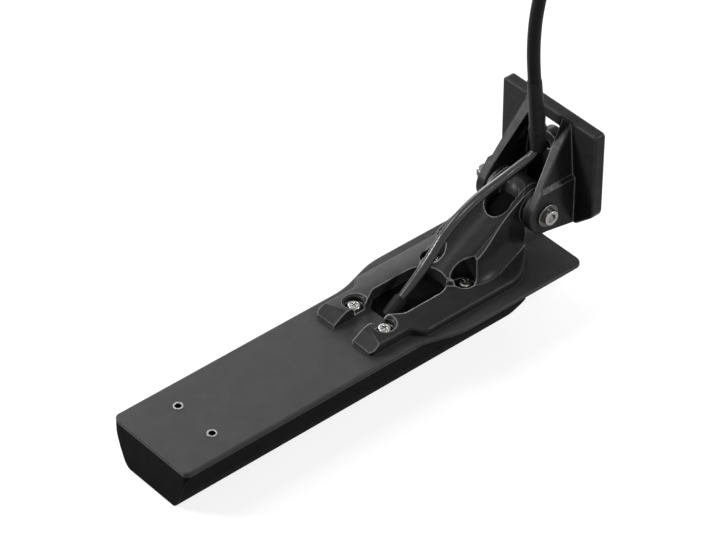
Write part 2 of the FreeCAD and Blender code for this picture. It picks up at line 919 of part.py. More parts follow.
def bracket_plate():
    """Mounting plate with rounded edges and slanted lower corners."""
    half = both_hands([
        (plate_width / 2, plate_top_height, plate_corner_radius),
        (plate_width / 2, plate_shoulder_height, plate_shoulder_radius),
        (plate_foot_width / 2, plate_bottom_height, plate_corner_radius),
    ])
    back = plate_front + plate_thickness
    plate = prism(half, in_section, along, plate_front, back)
    plate = plate.makeFillet(plate_front_radius, edges_at_station(plate, plate_front))
    return plate.makeFillet(plate_back_radius, edges_at_station(plate, back))


def bracket_ear():
    """Ear at y > 0: round at the hinge, leaning inward above its step."""
    inner = ear_inner()
    outer = ear_outer()
    top_inner = inner - ear_lean
    section = prism([
        (inner, 0, 0),
        (outer, 0, 0),
        (outer, ear_step_height, 0),
        (outer - ear_step, ear_step_height + ear_step, 0),
        (top_inner + ear_top_thickness, plate_top_height, 0),
        (top_inner, plate_top_height, 0),
        (inner, ear_lean_height, 0),
    ], in_section, along, pivot_from_nose - ear_radius, plate_front + plate_back_radius)
    pivot = in_side(pivot_from_nose, pivot_height)
    tip = in_side(plate_front, plate_top_height - plate_front_radius)
    reach = tip - pivot
    lean = math.atan2(reach.z, reach.x) + math.acos(ear_radius / reach.Length)
    touch = pivot + Vector(math.cos(lean), 0, math.sin(lean)) * ear_radius
    back = plate_front + plate_back_radius
    web = prism([
        (pivot.x, pivot.z, 0),
        (touch.x, touch.z, 0),
        (tip.x, tip.z, 0),
        (back, tip.z, 0),
        (back, plate_bottom_height, 0),
        (pivot.x, pivot_height - ear_radius, 0),
    ], in_side, across, 0, outer)
    boss = crosswise(ear_radius, 0, outer)
    ear = web.fuse(boss).removeSplitter().common(section)
    ear = ear.makeFillet(ear_edge_radius, ear_rim(ear))
    bore = crosswise(pivot_bolt_diameter / 2 + running_clearance, 0, outer)
    return ear.cut(bore)


def ear_rim(ear):
    """Edges of the ear that are rounded: not those at its top, step, back and round its width."""
    rim = []
    for edge in ear.Edges:
        box = edge.BoundBox
        at_back = box.XMin > plate_front and box.XLength < 0.1
        crosses = box.YLength > ear_thickness - ear_edge_radius
        at_step = box.ZLength < 0.1 and ear_step_height - 0.5 < box.ZMin < ear_lean_height + 0.5
        at_top = box.ZMin > plate_top_height - plate_front_radius - 0.1
        if not (at_back or crosses or at_step or at_top):
            rim.append(edge)
    return rim


def mount_hole_heights():
    """Heights of the two screw holes of the plate."""
    return [upper_hole_height, upper_hole_height - mount_hole_spacing]


def plate_window():
    """Window between the ears, arched over the upper screw hole's boss."""
    half = window_width / 2
    back = plate_front + plate_thickness
    pane = prism([
        (-half, upper_hole_height, 0),
        (half, upper_hole_height, 0),
        (half, window_top_height, window_corner_radius),
        (-half, window_top_height, window_corner_radius),
    ], in_section, along, plate_front, back)
    boss_start = Vector(plate_front, 0, upper_hole_height)
    return pane.cut(Part.makeCylinder(hole_boss_radius, plate_thickness, boss_start, along))


def plate_cores():
    """Shallow cored pockets in the back of both wings of the plate."""
    back = plate_front + plate_thickness
    outer = plate_width / 2 - core_outer_margin
    top = plate_top_height - core_outer_margin
    pitch = (top - core_bottom_height + core_rib) / core_count
    pockets = []
    for row in range(core_count):
        bottom = core_bottom_height + row * pitch
        pocket = prism([
            (core_inner_from_middle, bottom, 1.0),
            (outer, bottom, 1.0),
            (outer, bottom + pitch - core_rib, 1.0),
            (core_inner_from_middle, bottom + pitch - core_rib, 1.0),
        ], in_section, along, plate_front + core_wall, back)
        pockets += [pocket, other_hand(pocket)]
    return pockets


def transom_bracket():
    """Plate with its two ears, window, screw holes and cored back."""
    ear = bracket_ear()
    bracket = bracket_plate().fuse([ear, other_hand(ear)])
    cuts = [plate_window()] + plate_cores()
    for height in mount_hole_heights():
        start = Vector(plate_front, 0, height)
        cuts.append(Part.makeCylinder(mount_hole_diameter / 2, plate_thickness, start, along))
    return bracket.cut(cuts).removeSplitter()


def tube(route, diameter, name):
    """Round tube along straight runs that are joined by tangent arcs."""
    points = [Vector(*point) for point in route]
    edges = []
    radii = []
    here = points[0]
    length = 0
    for before, corner, after in zip(points, points[1:], points[2:]):
        back = before - corner
        ahead = after - corner
        setback = bend_share * min(back.Length, ahead.Length)
        turn = math.pi - back.getAngle(ahead)
        radius = setback / math.tan(turn / 2)
        radii.append(radius)
        back.normalize()
        ahead.normalize()
        start = corner + back * setback
        end = corner + ahead * setback
        inward = (back + ahead).normalize()
        middle = corner + inward * (radius / math.cos(turn / 2) - radius)
        edges.append(Part.LineSegment(here, start).toShape())
        edges.append(Part.Arc(start, middle, end).toShape())
        length += (start - here).Length + radius * turn
        here = end
    edges.append(Part.LineSegment(here, points[-1]).toShape())
    length += (points[-1] - here).Length
    path = Part.Wire(edges)
    ring = Part.Wire(Part.makeCircle(diameter / 2, points[0], points[1] - points[0]))
    pipe = path.makePipeShell([ring], True, False)
    ideal = length * math.pi * diameter ** 2 / 4
    shown = ", ".join(f"{bend:.0f}" for bend in radii)
    print(f"{name}: length {length:.1f}, volume ratio {pipe.Volume / ideal:.4f}, radii {shown}")
    return pipe


def sensor_lead():
    """Thin lead from the strain relief through the ears up into the boot."""
    return tube(lead_route, lead_diameter, "sensor_lead")


def main_cable():
    """Cable from the boot, up and over, down to the hank."""
    return tube(cable_route, cable_diameter, "main_cable")


def cable_boot():
    """Leaning round boot with a rim, open below for the lead and above for the cable."""
    lean = math.radians(boot_lean)
    axis = Vector(-math.sin(lean), 0, math.cos(lean))
    bottom = Vector(*lead_route[-1]) - axis * boot_mouth_depth
    rim = bottom + axis * (boot_collar_height - boot_rim_width)
    neck = bottom + axis * boot_collar_height
    collar = Part.makeCylinder(boot_collar_diameter / 2, boot_collar_height, bottom, axis)
    ring = Part.makeCylinder(boot_rim_diameter / 2, boot_rim_width, rim, axis)
    sleeve = Part.makeCone(boot_neck_diameter / 2, boot_tip_diameter / 2,
                           boot_height - boot_collar_height, neck, axis)
    mouth = Part.makeCylinder(boot_mouth_diameter / 2, boot_mouth_depth, bottom, axis)
    socket = Part.makeCylinder(cable_diameter / 2 + cable_clearance, cable_in_boot,
                               bottom + axis * (boot_height - cable_in_boot), axis)
    return collar.fuse([ring, sleeve]).cut([mouth, socket]).removeSplitter()


def hank_outer():
    """Half width of the hank's loops."""
    return hank_loop_radius + 1.5 * cable_diameter


def hank_end():
    """Distance from the nose to the far end of the hank."""
    return cable_route[-1][0] + hank_run_length + 2 * hank_outer()


def hank_middle():
    """Distance from the nose to the tied waist of the hank."""
    return (cable_route[-1][0] + hank_end()) / 2


def waist_half():
    """Half width of the hank where it is tied."""
    return waist_columns * cable_diameter / 2


def hank_top():
    """Height of the hank's upper face."""
    return hank_layers * cable_diameter - bar_height


def cable_hank():
    """Folded cable: two lobes and a tied waist, with the cable's tail on top."""
    start = cable_route[-1][0]
    middle = hank_middle()
    outer = hank_outer()
    lobe = outer - 0.2
    shoulder = middle - waist_approach
    narrow = middle - waist_length / 2 - waist_ease
    corners = [
        (start, -outer, hank_corner_radius),
        (shoulder, -outer, waist_radius),
        (narrow, -waist_half(), waist_radius),
        (2 * middle - narrow, -waist_half(), waist_radius),
        (2 * middle - shoulder, -outer, waist_radius),
        (hank_end(), -outer, lobe),
        (hank_end(), outer, lobe),
        (2 * middle - shoulder, outer, waist_radius),
        (2 * middle - narrow, waist_half(), waist_radius),
        (narrow, waist_half(), waist_radius),
        (shoulder, outer, waist_radius),
        (start, outer, lobe),
    ]
    top = hank_top()
    hank = prism(corners, in_plan, upward, -bar_height, top)
    waist = (middle - waist_length / 2, middle + waist_length / 2)
    hank = hank.cut(block(waist, (-outer, outer), (-bar_height, tie_thickness - bar_height)))
    raised = block(waist, (-waist_half(), waist_half()), (top, top + tie_thickness))
    tail_start = start + tail_start_from_hank
    tail_end = tail_start + tail_length
    height = connector_height() + cable_diameter / 2
    tail = prism([
        (tail_start, top, 0),
        (tail_start, top + cable_diameter, 0),
        (tail_start + tail_length / 2, height, 0),
        (tail_end, height, 0),
        (tail_end, top, 0),
    ], in_side, across, -cable_diameter / 2, cable_diameter / 2)
    return hank.fuse([raised, tail]).removeSplitter()


def hank_tie():
    """Band round the waist of the hank."""
    middle = hank_middle()
    waist = (middle - waist_length / 2, middle + waist_length / 2)
    inner = waist_half()
    bottom = -bar_height
    top = hank_top() + 2 * tie_thickness
    outer = inner + tie_thickness
    band = block(waist, (-outer, outer), (bottom, top))
    return band.cut(block(waist, (-inner, inner), (bottom + tie_thickness, top - tie_thickness)))


def connector_height():
    """Height of the connector's axis, where its collar rests on the tie."""
    return hank_top() + 2 * tie_thickness + connector_collar_diameter / 2


def connector_start():
    """Distance from the nose to the rear face of the connector."""
    return cable_route[-1][0] + tail_start_from_hank + tail_length


def lengthwise(radius, start, length):
    """Cylinder along the connector's axis."""
    return Part.makeCylinder(radius, length, Vector(start, 0, connector_height()), along)


def connector_body():
    """Moulded connector: a tapered boot, a fluted grip and a nose for the collar."""
    start = connector_start()
    grip_start = start + connector_boot_length
    grip_end = grip_start + connector_grip_length
    boot = Part.makeCone(cable_diameter / 2 + connector_wall, connector_boot_diameter / 2,
                         connector_boot_length, Vector(start, 0, connector_height()), along)
    grip = lengthwise(connector_grip_diameter / 2, grip_start, connector_grip_length)
    nose_radius = connector_collar_diameter / 2 - connector_wall
    nose = lengthwise(nose_radius, grip_end - connector_collar_overlap,
                      connector_collar_overlap + connector_collar_length / 2)
    grip = grip.cut(lengthwise(connector_grip_diameter, grip_end - connector_collar_overlap,
                               connector_collar_overlap))
    body = boot.fuse([grip, nose])
    socket = lengthwise(nose_radius - connector_wall,
                        grip_end + connector_collar_length / 2 - connector_insert_length,
                        connector_insert_length)
    return body.cut(socket).removeSplitter()


def connector_collar():
    """Locking collar with flutes, round the connector's nose."""
    grip_end = connector_start() + connector_boot_length + connector_grip_length
    start = grip_end - connector_collar_overlap
    radius = connector_collar_diameter / 2
    collar = lengthwise(radius, start, connector_collar_length)
    collar = collar.cut(lengthwise(radius - connector_wall, start, connector_collar_length))
    flutes = []
    for step in range(connector_flutes):
        angle = 2 * math.pi * (step + 0.5) / connector_flutes
        offset = radius + flute_radius * 0.45
        spot = Vector(start + connector_wall, offset * math.sin(angle),
                      connector_height() + offset * math.cos(angle))
        flutes.append(Part.makeCylinder(flute_radius, connector_collar_length - 2 * connector_wall,
                                        spot, along))
    return collar.cut(flutes)


def connector_face():
    """Distance from the nose to the connector insert's open face."""
    grip_end = connector_start() + connector_boot_length + connector_grip_length
    return grip_end + connector_collar_length / 2


def connector_insert():
    """Moulded pin carrier in the connector's nose."""
    radius = connector_collar_diameter / 2 - 2 * connector_wall
    start = connector_face() - connector_insert_length
    body = lengthwise(radius, start, connector_insert_length - connector_wall)
    holes = []
    for spot in pin_places(start):
        holes.append(Part.makeCylinder(pin_diameter / 2, connector_insert_length, spot, along))
    return body.cut(holes)


def pin_places(x):
    """Points on the pin circle at x, with one in the middle."""
    places = [Vector(x, 0, connector_height())]
    for step in range(pin_count):
        angle = 2 * math.pi * step / pin_count
        places.append(Vector(x, pin_circle_diameter / 2 * math.sin(angle),
                             connector_height() + pin_circle_diameter / 2 * math.cos(angle)))
    return places


def connector_pins():
    """Contact pins that stand out of the insert."""
    start = connector_face() - connector_insert_length
    length = connector_insert_length - connector_wall + pin_length
    pins = [Part.makeCylinder(pin_diameter / 2, length, spot, along) for spot in pin_places(start)]
    return Part.makeCompound(pins)


def pieces():
    """Every node of the object with its shape."""
    element = side_element()
    return {
        "lower_housing": lower_housing(),
        "upper_housing": upper_housing(),
        "side_element_left": element,
        "side_element_right": other_hand(element),
        "down_element": down_element(),
        "round_element": round_element(),
        "backing_foam": backing_foam(),
        "element_frame": element_frame(),
        "junction_board": junction_board(),
        "temperature_probe": temperature_probe(),
        "nose_bushes": nose_bushes(),
        "mounting_inserts": mounting_inserts(),
        "strain_relief": strain_relief(),
        "foot_bracket": foot_bracket(),
        "foot_screws": foot_screws(),
        "pivot_sleeve": pivot_sleeve(),
        "friction_washers": friction_washers(),
        "transom_bracket": transom_bracket(),
        "pivot_bolt": pivot_bolt(),
        "pivot_washers": pivot_washers(),
        "lock_nut": lock_nut(),
        "sensor_lead": sensor_lead(),
        "cable_boot": cable_boot(),
        "main_cable": main_cable(),
        "cable_hank": cable_hank(),
        "hank_tie": hank_tie(),
        "connector_body": connector_body(),
        "connector_collar": connector_collar(),
        "connector_insert": connector_insert(),
        "connector_pins": connector_pins(),
    }


def main():
    """Write one file for each piece, in the object's own frame."""
    os.makedirs("parts", exist_ok=True)
    for name, shape in pieces().items():
        placed = shape.copy()
        placed.translate(to_origin)
        placed.exportStep(os.path.join("parts", name + ".step"))
        print(f"{name}: {len(shape.Solids)} solids, valid {shape.isValid()}, volume {shape.Volume:.1f}")


main()
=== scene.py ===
"""Looks of a transom-mount sonar transducer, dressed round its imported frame.

The frame's solids keep their shape and get their finishes here. The lead, the cable with its
tied hank, the strap round it and some small trim are built as what they are. Lengths are
millimetres in the nose frame (x from the bar's nose face, z from its top face) until
at_nose() turns them into metres of the row frame.
"""

import json
import logging
import math
from dataclasses import dataclass, field
from enum import Enum

import bmesh
import bpy
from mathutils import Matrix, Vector

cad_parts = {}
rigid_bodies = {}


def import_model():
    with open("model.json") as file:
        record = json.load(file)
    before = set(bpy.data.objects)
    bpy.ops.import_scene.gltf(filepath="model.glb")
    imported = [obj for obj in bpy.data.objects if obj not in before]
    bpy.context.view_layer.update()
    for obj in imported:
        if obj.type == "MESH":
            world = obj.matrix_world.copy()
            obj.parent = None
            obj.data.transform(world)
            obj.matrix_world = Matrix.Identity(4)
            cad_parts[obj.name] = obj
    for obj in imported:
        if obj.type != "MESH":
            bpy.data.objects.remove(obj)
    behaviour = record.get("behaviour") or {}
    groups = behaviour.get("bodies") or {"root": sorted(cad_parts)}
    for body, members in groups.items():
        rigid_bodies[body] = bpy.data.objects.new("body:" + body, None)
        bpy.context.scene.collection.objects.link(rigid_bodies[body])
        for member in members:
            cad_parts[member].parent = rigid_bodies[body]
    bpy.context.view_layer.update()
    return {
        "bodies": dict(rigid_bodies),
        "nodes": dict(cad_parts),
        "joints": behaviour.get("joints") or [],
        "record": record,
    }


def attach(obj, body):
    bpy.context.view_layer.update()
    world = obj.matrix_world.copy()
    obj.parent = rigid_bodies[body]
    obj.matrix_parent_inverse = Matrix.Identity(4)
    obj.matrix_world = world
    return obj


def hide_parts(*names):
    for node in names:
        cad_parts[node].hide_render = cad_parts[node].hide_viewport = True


LOG = logging.getLogger("transducer")
MILLIMETRE = 0.001
NOSE_TO_ROW = Vector((-145.3, 0.0, 31.4))

Place = tuple[float, float, float]

BOOT_MOUTH: Place = (267.82, -4.0, 110.07)
WHITE = (1.0, 1.0, 1.0, 1.0)
MIDDLE_OF_NOISE = (0.3, 0.7)
GLOSS_PATCH_SHARE = 0.4
GRAIN_DETAIL = 2.0
# How much lighter the colour is painted on edges, for finishes without their own edge colour: a painted
# highlight.
PLAIN_EDGE_HIGHLIGHT = 1.5
BEVEL_SAMPLES = 6
CORD_ORDER = 3
CORD_STEPS = 7
CORD_ROUNDNESS = 7
COIL_STEPS = 36
COIL_SIDES = 10
SHARP_ANGLE = 40.0


class Body(Enum):
    """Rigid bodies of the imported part."""

    TRANSDUCER = "transducer"
    BRACKET = "bracket"


def at_nose(x: float, y: float, z: float) -> Vector:
    """Turn a place in the nose frame into the row frame.

    Args:
        x: millimetres behind the bar's nose face.
        y: millimetres to the left of its middle.
        z: millimetres above its top face.

    Returns:
        The place in metres of the row frame.
    """
    return (Vector((x, y, z)) + NOSE_TO_ROW) * MILLIMETRE


class NodeGraph:
    """Adds nodes and links to the node tree of one material or world."""

    def __init__(self, tree: bpy.types.NodeTree) -> None:
        """Keep the tree and empty it."""
        self.tree = tree
        self.tree.nodes.clear()

    def add(self, kind: str, settings: dict | None = None, **values: object) -> bpy.types.Node:
        """Add a node.

        Args:
            kind: Blender's name of the node type.
            settings: properties of the node itself, such as its operation.
            **values: socket names, with an underscore for a space, and their constants or
                the output sockets to link there.

        Returns:
            The new node.
        """
        node = self.tree.nodes.new(kind)
        for name, value in (settings or {}).items():
            setattr(node, name, value)
        for name, value in values.items():
            self.plug(node.inputs[name.replace("_", " ")], value)
        return node

    def plug(self, socket: bpy.types.NodeSocket, value: object) -> None:
        """Link an output socket to an input, or set the input's constant.

        Args:
            socket: the input socket.
            value: output socket to link there, or a constant.
        """
        if isinstance(value, bpy.types.NodeSocket):
            self.tree.links.new(value, socket)
        else:
            socket.default_value = value

    def math(self, operation: str, first: object, second: object = 0.0) -> bpy.types.NodeSocket:
        """Combine two numbers.

        Args:
            operation: Blender's name of the operation.
            first: number or output socket.
            second: number or output socket.

        Returns:
            The result's socket.
        """
        node = self.add("ShaderNodeMath", {"operation": operation})
        self.plug(node.inputs[0], first)
        self.plug(node.inputs[1], second)
        return node.outputs[0]

    def blend(self, share: object, first: object, second: object) -> bpy.types.NodeSocket:
        """Mix two colours.

        Args:
            share: how much of the second colour shows, as a number or socket.
            first: colour or output socket.
            second: colour or output socket.

        Returns:
            The mixed colour's socket.
        """
        node = self.add("ShaderNodeMix", {"data_type": "RGBA"})
        self.plug(node.inputs["Factor"], share)
        self.plug(node.inputs[6], first)
        self.plug(node.inputs[7], second)
        return node.outputs[2]

    def speckle(self, place: object, size: float, detail: float = 3.0) -> bpy.types.NodeSocket:
        """Make a noise pattern.

        Args:
            place: socket with coordinates in metres.
            size: size of a speck in millimetres.
            detail: how many finer layers it has.

        Returns:
            The pattern's socket, from 0 to 1.
        """
        scale = 1.0 / (size * MILLIMETRE)
        noise = self.add("ShaderNodeTexNoise", Vector=place, Scale=scale, Detail=detail)
        return noise.outputs["Fac"]

    def spread(self, value: object, low: float, high: float) -> bpy.types.NodeSocket:
        """Stretch a pattern's middle range to another range.

        Args:
            value: the noise pattern's socket.
            low: what its lower values become.
            high: what its higher values become.

        Returns:
            The stretched pattern's socket.
        """
        return self.remap(value, MIDDLE_OF_NOISE, (low, high))

    def remap(
        self, value: object, source: tuple[float, float], goal: tuple[float, float]
    ) -> bpy.types.NodeSocket:
        """Carry a value from one range over to another, and hold it there.

        Args:
            value: number or output socket.
            source: both ends of the range that it comes from.
            goal: both ends of the range that it goes to.

        Returns:
            The result's socket.
        """
        node = self.add("ShaderNodeMapRange", Value=value)
        node.inputs["From Min"].default_value, node.inputs["From Max"].default_value = source
        node.inputs["To Min"].default_value, node.inputs["To Max"].default_value = goal
        return node.outputs["Result"]


def shade_of(colour: Place, factor: float) -> tuple[float, float, float, float]:
    """Scale a colour and give it full opacity."""
    return (colour[0] * factor, colour[1] * factor, colour[2] * factor, 1.0)


@dataclass(frozen=True)
class Finish:
    """A surface finish: its colour, gloss, grain, and the highlight painted into the colour along its
    edges.
    """

    name: str
    colour: Place
    roughness: float
    specular: float = 0.3
    metallic: float = 0.0
    mottle_size: float = 9.0
    mottle: float = 0.12
    grain_size: float = 0.45
    grain_depth: float = 0.02
    roughness_swing: float = 0.05
    edge_radius: float = 0.5
    # Edge gain and edge colour set the highlight painted into the colour along the rounded edges.
    edge_highlight_gain: float = 1.0
    edge_highlight_colour: Place | None = None
    stretch: Place = (1.0, 1.0, 1.0)

    def material(self) -> bpy.types.Material:
        """Build the material.

        Returns:
            The material, made once for each name.
        """
        title = f"{self.name} finish {self.roughness}"
        made = bpy.data.materials.get(title)
        if made is not None:
            return made
        made = bpy.data.materials.new(title)
        made.use_nodes = True
        graph = NodeGraph(made.node_tree)
        place = graph.add("ShaderNodeTexCoord").outputs["Object"]
        stretched = graph.add("ShaderNodeMapping", Vector=place, Scale=self.stretch).outputs["Vector"]
        edge_radius = self.edge_radius * MILLIMETRE
        rounded = graph.add("ShaderNodeBevel", {"samples": BEVEL_SAMPLES}, Radius=edge_radius)
        surface = graph.add("ShaderNodeBsdfPrincipled")
        graph.plug(surface.inputs["Base Color"], self.coloured(graph, place, rounded.outputs["Normal"]))
        gloss = graph.speckle(stretched, self.mottle_size * GLOSS_PATCH_SHARE)
        swing = self.roughness_swing
        rough = graph.spread(gloss, self.roughness - swing, self.roughness + swing)
        graph.plug(surface.inputs["Roughness"], rough)
        surface.inputs["Metallic"].default_value = self.metallic
        surface.inputs["Specular IOR Level"].default_value = self.specular
        grain = graph.speckle(stretched, self.grain_size, GRAIN_DETAIL)
        bump = graph.add("ShaderNodeBump", Height=grain, Normal=rounded.outputs["Normal"])
        bump.inputs["Distance"].default_value = self.grain_depth * MILLIMETRE
        graph.plug(surface.inputs["Normal"], bump.outputs["Normal"])
        graph.add("ShaderNodeOutputMaterial", Surface=surface.outputs["BSDF"])
        return made

    def coloured(
        self, graph: NodeGraph, place: bpy.types.NodeSocket, rounded: bpy.types.NodeSocket
    ) -> bpy.types.NodeSocket:
        """Vary the colour over the surface, and paint a highlight on its edges.

        Args:
            graph: the material's graph.
            place: socket with coordinates in metres.
            rounded: socket with the normal of the rounded edges.

        Returns:
            The colour's socket.
        """
        cloud = graph.spread(graph.speckle(place, self.mottle_size), 0.0, 1.0)
        darker = shade_of(self.colour, 1.0 - self.mottle)
        lighter = shade_of(self.colour, 1.0 + self.mottle)
        mottled = graph.blend(cloud, darker, lighter)
        # Painted edge highlight: where the rounded normal bends away from the flat one, the colour is
        # mixed towards the edge colour.
        flat = graph.add("ShaderNodeNewGeometry").outputs["Normal"]
        facing = graph.add("ShaderNodeVectorMath", {"operation": "DOT_PRODUCT"})
        graph.plug(facing.inputs[0], rounded)
        graph.plug(facing.inputs[1], flat)
        bend = graph.math("SUBTRACT", 1.0, facing.outputs["Value"])
        painted_edge_highlight = graph.add("ShaderNodeMath", {"operation": "MULTIPLY", "use_clamp": True})
        graph.plug(painted_edge_highlight.inputs[0], bend)
        painted_edge_highlight.inputs[1].default_value = self.edge_highlight_gain
        # The edge colour is the colour of the painted highlight.
        if self.edge_highlight_colour is None:
            edge = shade_of(self.colour, PLAIN_EDGE_HIGHLIGHT)
        else:
            edge = shade_of(self.edge_highlight_colour, 1.0)
        return graph.blend(painted_edge_highlight.outputs[0], mottled, edge)


class Finishes:
    """Every finish on the transducer, by what it is on."""

    # Colour of the highlight painted along the edges of the black plastics.
    EDGE_HIGHLIGHT = (0.3, 0.3, 0.303)
    # The shell's black is set darker than the cover's plastic, as painted shade on the bar's sides.
    SHELL = Finish(
        "bar_shell", (0.0074, 0.0074, 0.0076), 0.5, specular=0.004, edge_highlight_gain=1.2, edge_highlight_colour=EDGE_HIGHLIGHT
    )
    # The cover's grey is set lighter than the shell's plastic, as painted light on the bar's top.
    COVER = Finish(
        "bar_cover", (0.026, 0.026, 0.0263), 0.42, specular=0.11, edge_highlight_gain=1.5, edge_highlight_colour=EDGE_HIGHLIGHT
    )
    # The bracket's edges get strong painted highlight lines.
    BRACKET = Finish(
        "bracket_plastic", (0.015, 0.015, 0.0153), 0.3, specular=0.055, grain_depth=0.03,
        edge_radius=1.3, edge_highlight_gain=5.0, edge_highlight_colour=EDGE_HIGHLIGHT
    )
    STAINLESS = Finish(
        "stainless", (0.26, 0.257, 0.25), 0.24, metallic=1.0, mottle=0.06, grain_depth=0.006,
        edge_highlight_gain=0.3
    )
    POLISHED = Finish(
        "stainless_polished", (0.15, 0.149, 0.146), 0.2, metallic=1.0, mottle=0.05,
        grain_depth=0.004, edge_highlight_gain=0.2
    )
    # The pale edge colour paints a light ring of highlight round the washers' and the nut's edges.
    DARK_STEEL = Finish(
        "stainless", (0.07, 0.069, 0.067), 0.35, metallic=1.0, mottle=0.1, edge_highlight_gain=3.0,
        edge_highlight_colour=(0.5, 0.495, 0.48)
    )
    BRASS = Finish("brass", (0.74, 0.53, 0.23), 0.28, metallic=1.0, mottle=0.08, grain_depth=0.006)
    CERAMIC = Finish("ceramic", (0.72, 0.67, 0.55), 0.6, mottle=0.06, grain_depth=0.03, edge_highlight_gain=0.1)
    FOAM = Finish("foam", (0.09, 0.09, 0.095), 0.9, specular=0.1, grain_size=0.9, grain_depth=0.3)
    CARRIER = Finish("inner_plastic", (0.26, 0.26, 0.27), 0.55, edge_highlight_gain=0.3)
    BOARD = Finish("board", (0.02, 0.15, 0.06), 0.4, mottle=0.15, grain_depth=0.04)
    RELIEF = Finish("relief_rubber", (0.011, 0.011, 0.0113), 0.42, specular=0.07, grain_depth=0.02)
    # Black sheets where there is only shade: painted shade in the foot's cable opening and in the arm's
    # pocket.
    SHADE_SHEET = Finish("relief_rubber", (0.004, 0.004, 0.004), 0.95, specular=0.0, grain_depth=0.05)
    WASHER = Finish("washer_plastic", (0.03, 0.03, 0.032), 0.45)
    JACKET = Finish("cable_jacket", (0.0075, 0.0075, 0.0077), 0.32, specular=0.06, grain_depth=0.012)
    LEAD = Finish(
        "cable_jacket", (0.012, 0.012, 0.0123), 0.22, specular=0.45, mottle_size=4.0, grain_depth=0.01
    )
    STRAP = Finish("tie_strap", (0.02, 0.02, 0.022), 0.85, specular=0.1, grain_size=0.7, grain_depth=0.25)
    CONNECTOR = Finish("connector_plastic", (0.03, 0.03, 0.032), 0.45)


class Workshop:
    """Holds the frame, and dresses and registers pieces on it."""

    def __init__(self, frame: dict) -> None:
        """Keep the frame's nodes."""
        self.nodes: dict[str, bpy.types.Object] = frame["nodes"]

    def dress(self, finish: Finish, *nodes: str) -> list[bpy.types.Object]:
        """Give nodes of the frame a finish.

        Args:
            finish: the finish.
            *nodes: names of the nodes.

        Returns:
            The nodes' objects.
        """
        dressed = [self.nodes[name] for name in nodes]
        for piece in dressed:
            for place in piece.material_slots:
                place.material = finish.material()
        return dressed

    def add(self, piece: bpy.types.Object, finish: Finish, body: Body) -> bpy.types.Object:
        """Put a new piece in the scene on a body.

        Args:
            piece: the new object, in place.
            finish: its finish, named after the record's material slot.
            body: the body it rides on.

        Returns:
            The piece.
        """
        bpy.context.scene.collection.objects.link(piece)
        piece.data.materials.append(finish.material())
        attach(piece, body.value)
        return piece


def round_cord(name: str, points: list[Vector], diameter: float) -> bpy.types.Object:
    """Make a cord as one open NURBS spline.

    Args:
        name: name of the piece.
        points: its control points, in metres.
        diameter: its diameter in millimetres.

    Returns:
        The curve's object, not yet in the scene.
    """
    curve = bpy.data.curves.new(name, "CURVE")
    curve.dimensions = "3D"
    curve.bevel_depth = diameter / 2 * MILLIMETRE
    curve.bevel_resolution = CORD_ROUNDNESS
    curve.resolution_u = CORD_STEPS
    curve.use_fill_caps = True
    spline = curve.splines.new("NURBS")
    spline.points.add(len(points) - 1)
    for point, place in zip(spline.points, points):
        point.co = (*place, 1.0)
    spline.order_u = CORD_ORDER
    spline.use_endpoint_u = True
    return bpy.data.objects.new(name, curve)


def finished(name: str, mesh: bmesh.types.BMesh) -> bpy.types.Object:
    """Turn worked geometry into an object, smooth but for its sharp edges.

    Args:
        name: name of the piece.
        mesh: the geometry, which is freed.

    Returns:
        The object, not yet in the scene.
    """
    data = bpy.data.meshes.new(name)
    mesh.to_mesh(data)
    mesh.free()
    data.shade_smooth()
    data.set_sharp_from_angle(angle=math.radians(SHARP_ANGLE))
    return bpy.data.objects.new(name, data)


def bridge(mesh: bmesh.types.BMesh, last: list, ring: list) -> None:
    """Join two rings of corners with a band of faces.

    Args:
        mesh: the geometry that holds both rings.
        last: corners of the first ring.
        ring: corners of the second ring, as many.
    """
    for here in range(len(ring)):
        there = (here + 1) % len(ring)
        mesh.faces.new((last[here], ring[here], ring[there], last[there]))


def coil_about(
    name: str, centre: Place, axis: Vector, radius: float, thickness: float, pitch: float, turns: float
) -> bpy.types.Object:
    """Make a ring, or a thread when it climbs, of round section about an axis.

    Args:
        name: name of the piece.
        centre: its middle, or its lower end, in the nose frame.
        axis: direction of its axis.
        radius: millimetres from the axis to the section's middle.
        thickness: half of the section's width.
        pitch: millimetres that it climbs in a turn.
        turns: number of turns.

    Returns:
        The object, not yet in the scene.
    """
    mesh = bmesh.new()
    first = axis.orthogonal().normalized()
    second = axis.cross(first)
    closed = pitch == 0.0
    count = round(COIL_STEPS * turns)
    rings = []
    for number in range(count if closed else count + 1):
        angle = 2 * math.pi * number / COIL_STEPS
        out = first * math.cos(angle) + second * math.sin(angle)
        middle = Vector(centre) + axis * (pitch * number / COIL_STEPS)
        corners = []
        for side in range(COIL_SIDES):
            turn = 2 * math.pi * side / COIL_SIDES
            reach = radius + thickness * math.cos(turn)
            place = middle + out * reach + axis * thickness * math.sin(turn)
            corners.append(mesh.verts.new(at_nose(*place)))
        rings.append(corners)
    for last, ring in zip(rings, rings[1:]):
        bridge(mesh, last, ring)
    if closed:
        bridge(mesh, rings[-1], rings[0])
    else:
        mesh.faces.new(rings[0])
        mesh.faces.new(list(reversed(rings[-1])))
    bmesh.ops.recalc_face_normals(mesh, faces=mesh.faces)
    return finished(name, mesh)


def plate_of(name: str, outline: list[tuple[float, float]], low: float, high: float) -> bpy.types.Object:
    """Make a flat piece from its outline in plan.

    Args:
        name: name of the piece.
        outline: its corners (x, y) in the nose frame.
        low: height of its lower face.
        high: height of its upper face.

    Returns:
        The object, not yet in the scene.
    """
    mesh = bmesh.new()
    lower = [mesh.verts.new(at_nose(x, y, low)) for x, y in outline]
    upper = [mesh.verts.new(at_nose(x, y, high)) for x, y in outline]
    bridge(mesh, lower, upper)
    mesh.faces.new(lower)
    mesh.faces.new(list(reversed(upper)))
    bmesh.ops.recalc_face_normals(mesh, faces=mesh.faces)
    return finished(name, mesh)


